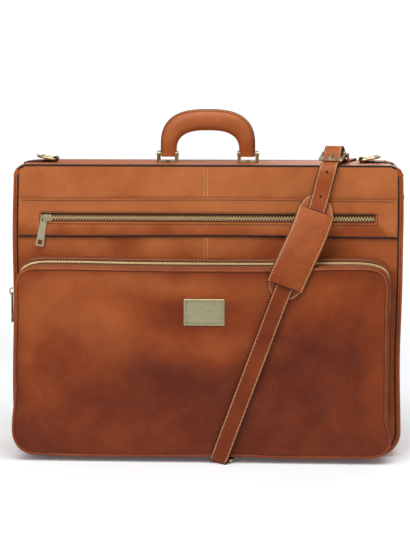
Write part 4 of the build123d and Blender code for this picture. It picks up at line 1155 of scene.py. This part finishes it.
def pad(name, start, end, wide, lift, thick, round_end, node, sag):
    """Flat pad along the strap, with its middle line, normals and half widths for its stitches."""
    half = wide / 2
    turn_in = round_end * (1 - np.cos(np.linspace(0, pi / 2, 10)))
    s = np.unique(np.concatenate([np.linspace(start, end, 50), start + turn_in, end - turn_in]))
    reach = np.minimum(s - start, end - s)
    inside = np.clip(round_end - reach, 0, None)
    wide_at = half - (half - half * 0.3) * (1 - np.sqrt(np.clip(1 - (inside / round_end) ** 2, 0, 1)))
    u = np.array([-1, -0.97, -0.9, -0.75, -0.5, -0.25, 0, 0.25, 0.5, 0.75, 0.9, 0.97, 1])
    h = pad_height(s, lift)
    place = on_strap(s, h) + drift(s)
    normal = unit(np.cross(lean_across, np.gradient(place, axis=0)))
    normal *= np.sign(normal @ np.array([0, -1, 0])).mean()
    grids = []
    for level in (thick / 2, -thick / 2):
        drop = level + sag * (np.clip(np.abs(u) - 0.56, 0, None) / 0.44) ** 1.6
        soft = 0.35 * np.where(np.abs(u) > 0.95, -1, 0) * np.sign(level)
        grids.append(place[:, None] + lean_across * (u[None, :, None] * wide_at[:, None, None])
                     + normal[:, None] * (drop + soft)[None, :, None])
    cells = np.zeros((len(s) - 1, len(u) - 1), bool)
    cells[:, [0, -1]] = True
    cells[(s[1:] < start + 1.4) | (s[:-1] > end - 1.4)] = True
    made = slab(name, grids[0], grids[1], "pad", "strap_leather", "front_half", wall_coat="edge", dark=cells)
    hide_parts(node)
    return s, place, normal, wide_at, thick


s, place, normal, wide_at, thick = pad("pad_base", 255, 408, 53, -3.4, 2.5, 24.0, "shoulder_pad_base", 0.0)
inner = np.clip(wide_at - 3.0, 0.5, None)
line = np.vstack([place[1:-1] + lean_across * inner[1:-1, None], (place[1:-1] - lean_across * inner[1:-1, None])[::-1]])
norms = np.vstack([normal[1:-1], normal[1:-1][::-1]])
line = np.vstack([line, line[:1]]) + np.vstack([norms, norms[:1]]) * (thick / 2 + 0.02)
sew("pad_base_stitches", [(line, np.vstack([norms, norms[:1]]))], "tan_thread", "strap_leather", "front_half",
    **strap_seam)
s, place, normal, wide_at, thick = pad("pad_cover", 272.5, 389.5, 56, 3.4, 2.5, 1.5, "shoulder_pad_cover", -3.2)
runs = [(place[1:-1] + lean_across * side * 24.9 + normal[1:-1] * (thick / 2 - 1.95), normal[1:-1]) for side in (-1, 1)]
sew("pad_cover_stitches", runs, "tan_thread", "strap_leather", "front_half", **strap_seam)

# ---- metal and other rigid CAD nodes

FINISH = {
    "aged": ("d_ring_left", "d_ring_right", "buckle_frame", "buckle_prong", "pocket_zip_slider"),
    "antique": ("handle_brackets", "handle_rivets", "handle_pins", "front_hook", "front_hook_eye", "rear_hook",
                "rear_hook_eye", "front_hook_gate", "rear_hook_gate", "hanger_bracket", "hanger_rivets",
                "garment_strap_buckles", "plaque_pins", "case_zip_slider", "case_zip_pull", "pocket_zip_pull"),
    "pale": ("upper_zip_slider", "upper_zip_pull"),
    "plaque": ("blank_plaque",),
    "steel": ("hanger_bail", "handle_backing_plates", "handle_core"),
    "board": ("spine_stiffener",),
}
for key, names in FINISH.items():
    for name in names:
        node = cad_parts[name]
        node.data.materials.clear()
        node.data.materials.append(M[key])
        if key != "board":
            bevel = node.modifiers.new("worn_edges", "BEVEL")
            bevel.width, bevel.segments, bevel.limit_method, bevel.angle_limit = 0.00035, 2, "ANGLE", radians(35)
            bevel.harden_normals = False

# ---- floor, light and camera

floor = bpy.data.meshes.new("floor")
rim_points = [(3.4 * cos(a), 3.4 * sin(a), 0) for a in np.linspace(0, 2 * pi, 97)[:-1]]
floor.from_pydata(rim_points, [], [list(range(96))])
ground = Graph("pale_floor", Specular_IOR_Level=0.1)
speck = ground.noise(3.0)
floor.materials.append(ground.finish(ground.ramp(speck, [(0.3, (0.88, 0.905, 0.92)), (0.7, (0.90, 0.925, 0.94))]),
                                     ground.fit(speck, 0, 1, 0.8, 0.9), speck, 0.0001, 0.1))
# The floor fades into the backdrop away from the bag.
reach = ground.add("ShaderNodeVectorMath", {0: ground.place}, operation="LENGTH").outputs["Value"]
ground.shader.inputs["Emission Color"].default_value = (1, 1, 1, 1)
ground.shader.inputs["Emission Strength"].default_value = 0.07
ground.tree.links.new(ground.fit(reach, 0.75, 1.5, 1.0, 0.0), ground.shader.inputs["Alpha"])
floor = bpy.data.objects.new("floor", floor)
bpy.context.scene.collection.objects.link(floor)

world = bpy.data.worlds.new("studio")
bpy.context.scene.world = world
world.use_nodes = True
back = world.node_tree.nodes["Background"]
back.inputs["Color"].default_value = (1, 1, 1, 1)
back.inputs["Strength"].default_value = 0.35
seen = world.node_tree.nodes.new("ShaderNodeBackground")
seen.inputs["Color"].default_value = (1, 1, 1, 1)
seen.inputs["Strength"].default_value = 1.05
path_node = world.node_tree.nodes.new("ShaderNodeLightPath")
both = world.node_tree.nodes.new("ShaderNodeMixShader")
for a, b in ((path_node.outputs["Is Camera Ray"], both.inputs[0]), (back.outputs[0], both.inputs[1]),
             (seen.outputs[0], both.inputs[2]), (both.outputs[0], world.node_tree.nodes["World Output"].inputs[0])):
    world.node_tree.links.new(a, b)


def softbox(name, place, aim, size, power):
    light = bpy.data.lights.new(name, "AREA")
    light.shape, light.size, light.size_y, light.energy = "RECTANGLE", size[0], size[1], power
    made = bpy.data.objects.new(name, light)
    made.location = place
    made.rotation_euler = (Vector(aim) - Vector(place)).to_track_quat("-Z", "Y").to_euler()
    bpy.context.scene.collection.objects.link(made)


softbox("top_light", (0.0, -0.9, 2.3), (0, -0.02, 0.2), (2.4, 1.5), 47)
softbox("front_light", (-1.3, -2.6, 1.9), (0, -0.06, 0.3), (1.4, 1.2), 26)
softbox("back_light", (0.9, 2.4, 1.6), (0, 0.06, 0.25), (1.8, 1.2), 20)

camera = bpy.data.cameras.new("camera")
camera.lens, camera.sensor_width, camera.clip_end = 106.5, 36.0, 100.0
camera.shift_y = -0.1140
seat = bpy.data.objects.new("camera", camera)
seat.location = (0.12, -2.415, 0.595)
seat.rotation_euler = (radians(90 - 5.42), 0.0, radians(2.95))
bpy.context.scene.collection.objects.link(seat)
bpy.context.scene.camera = seat
bpy.context.scene.view_settings.view_transform = "Standard"
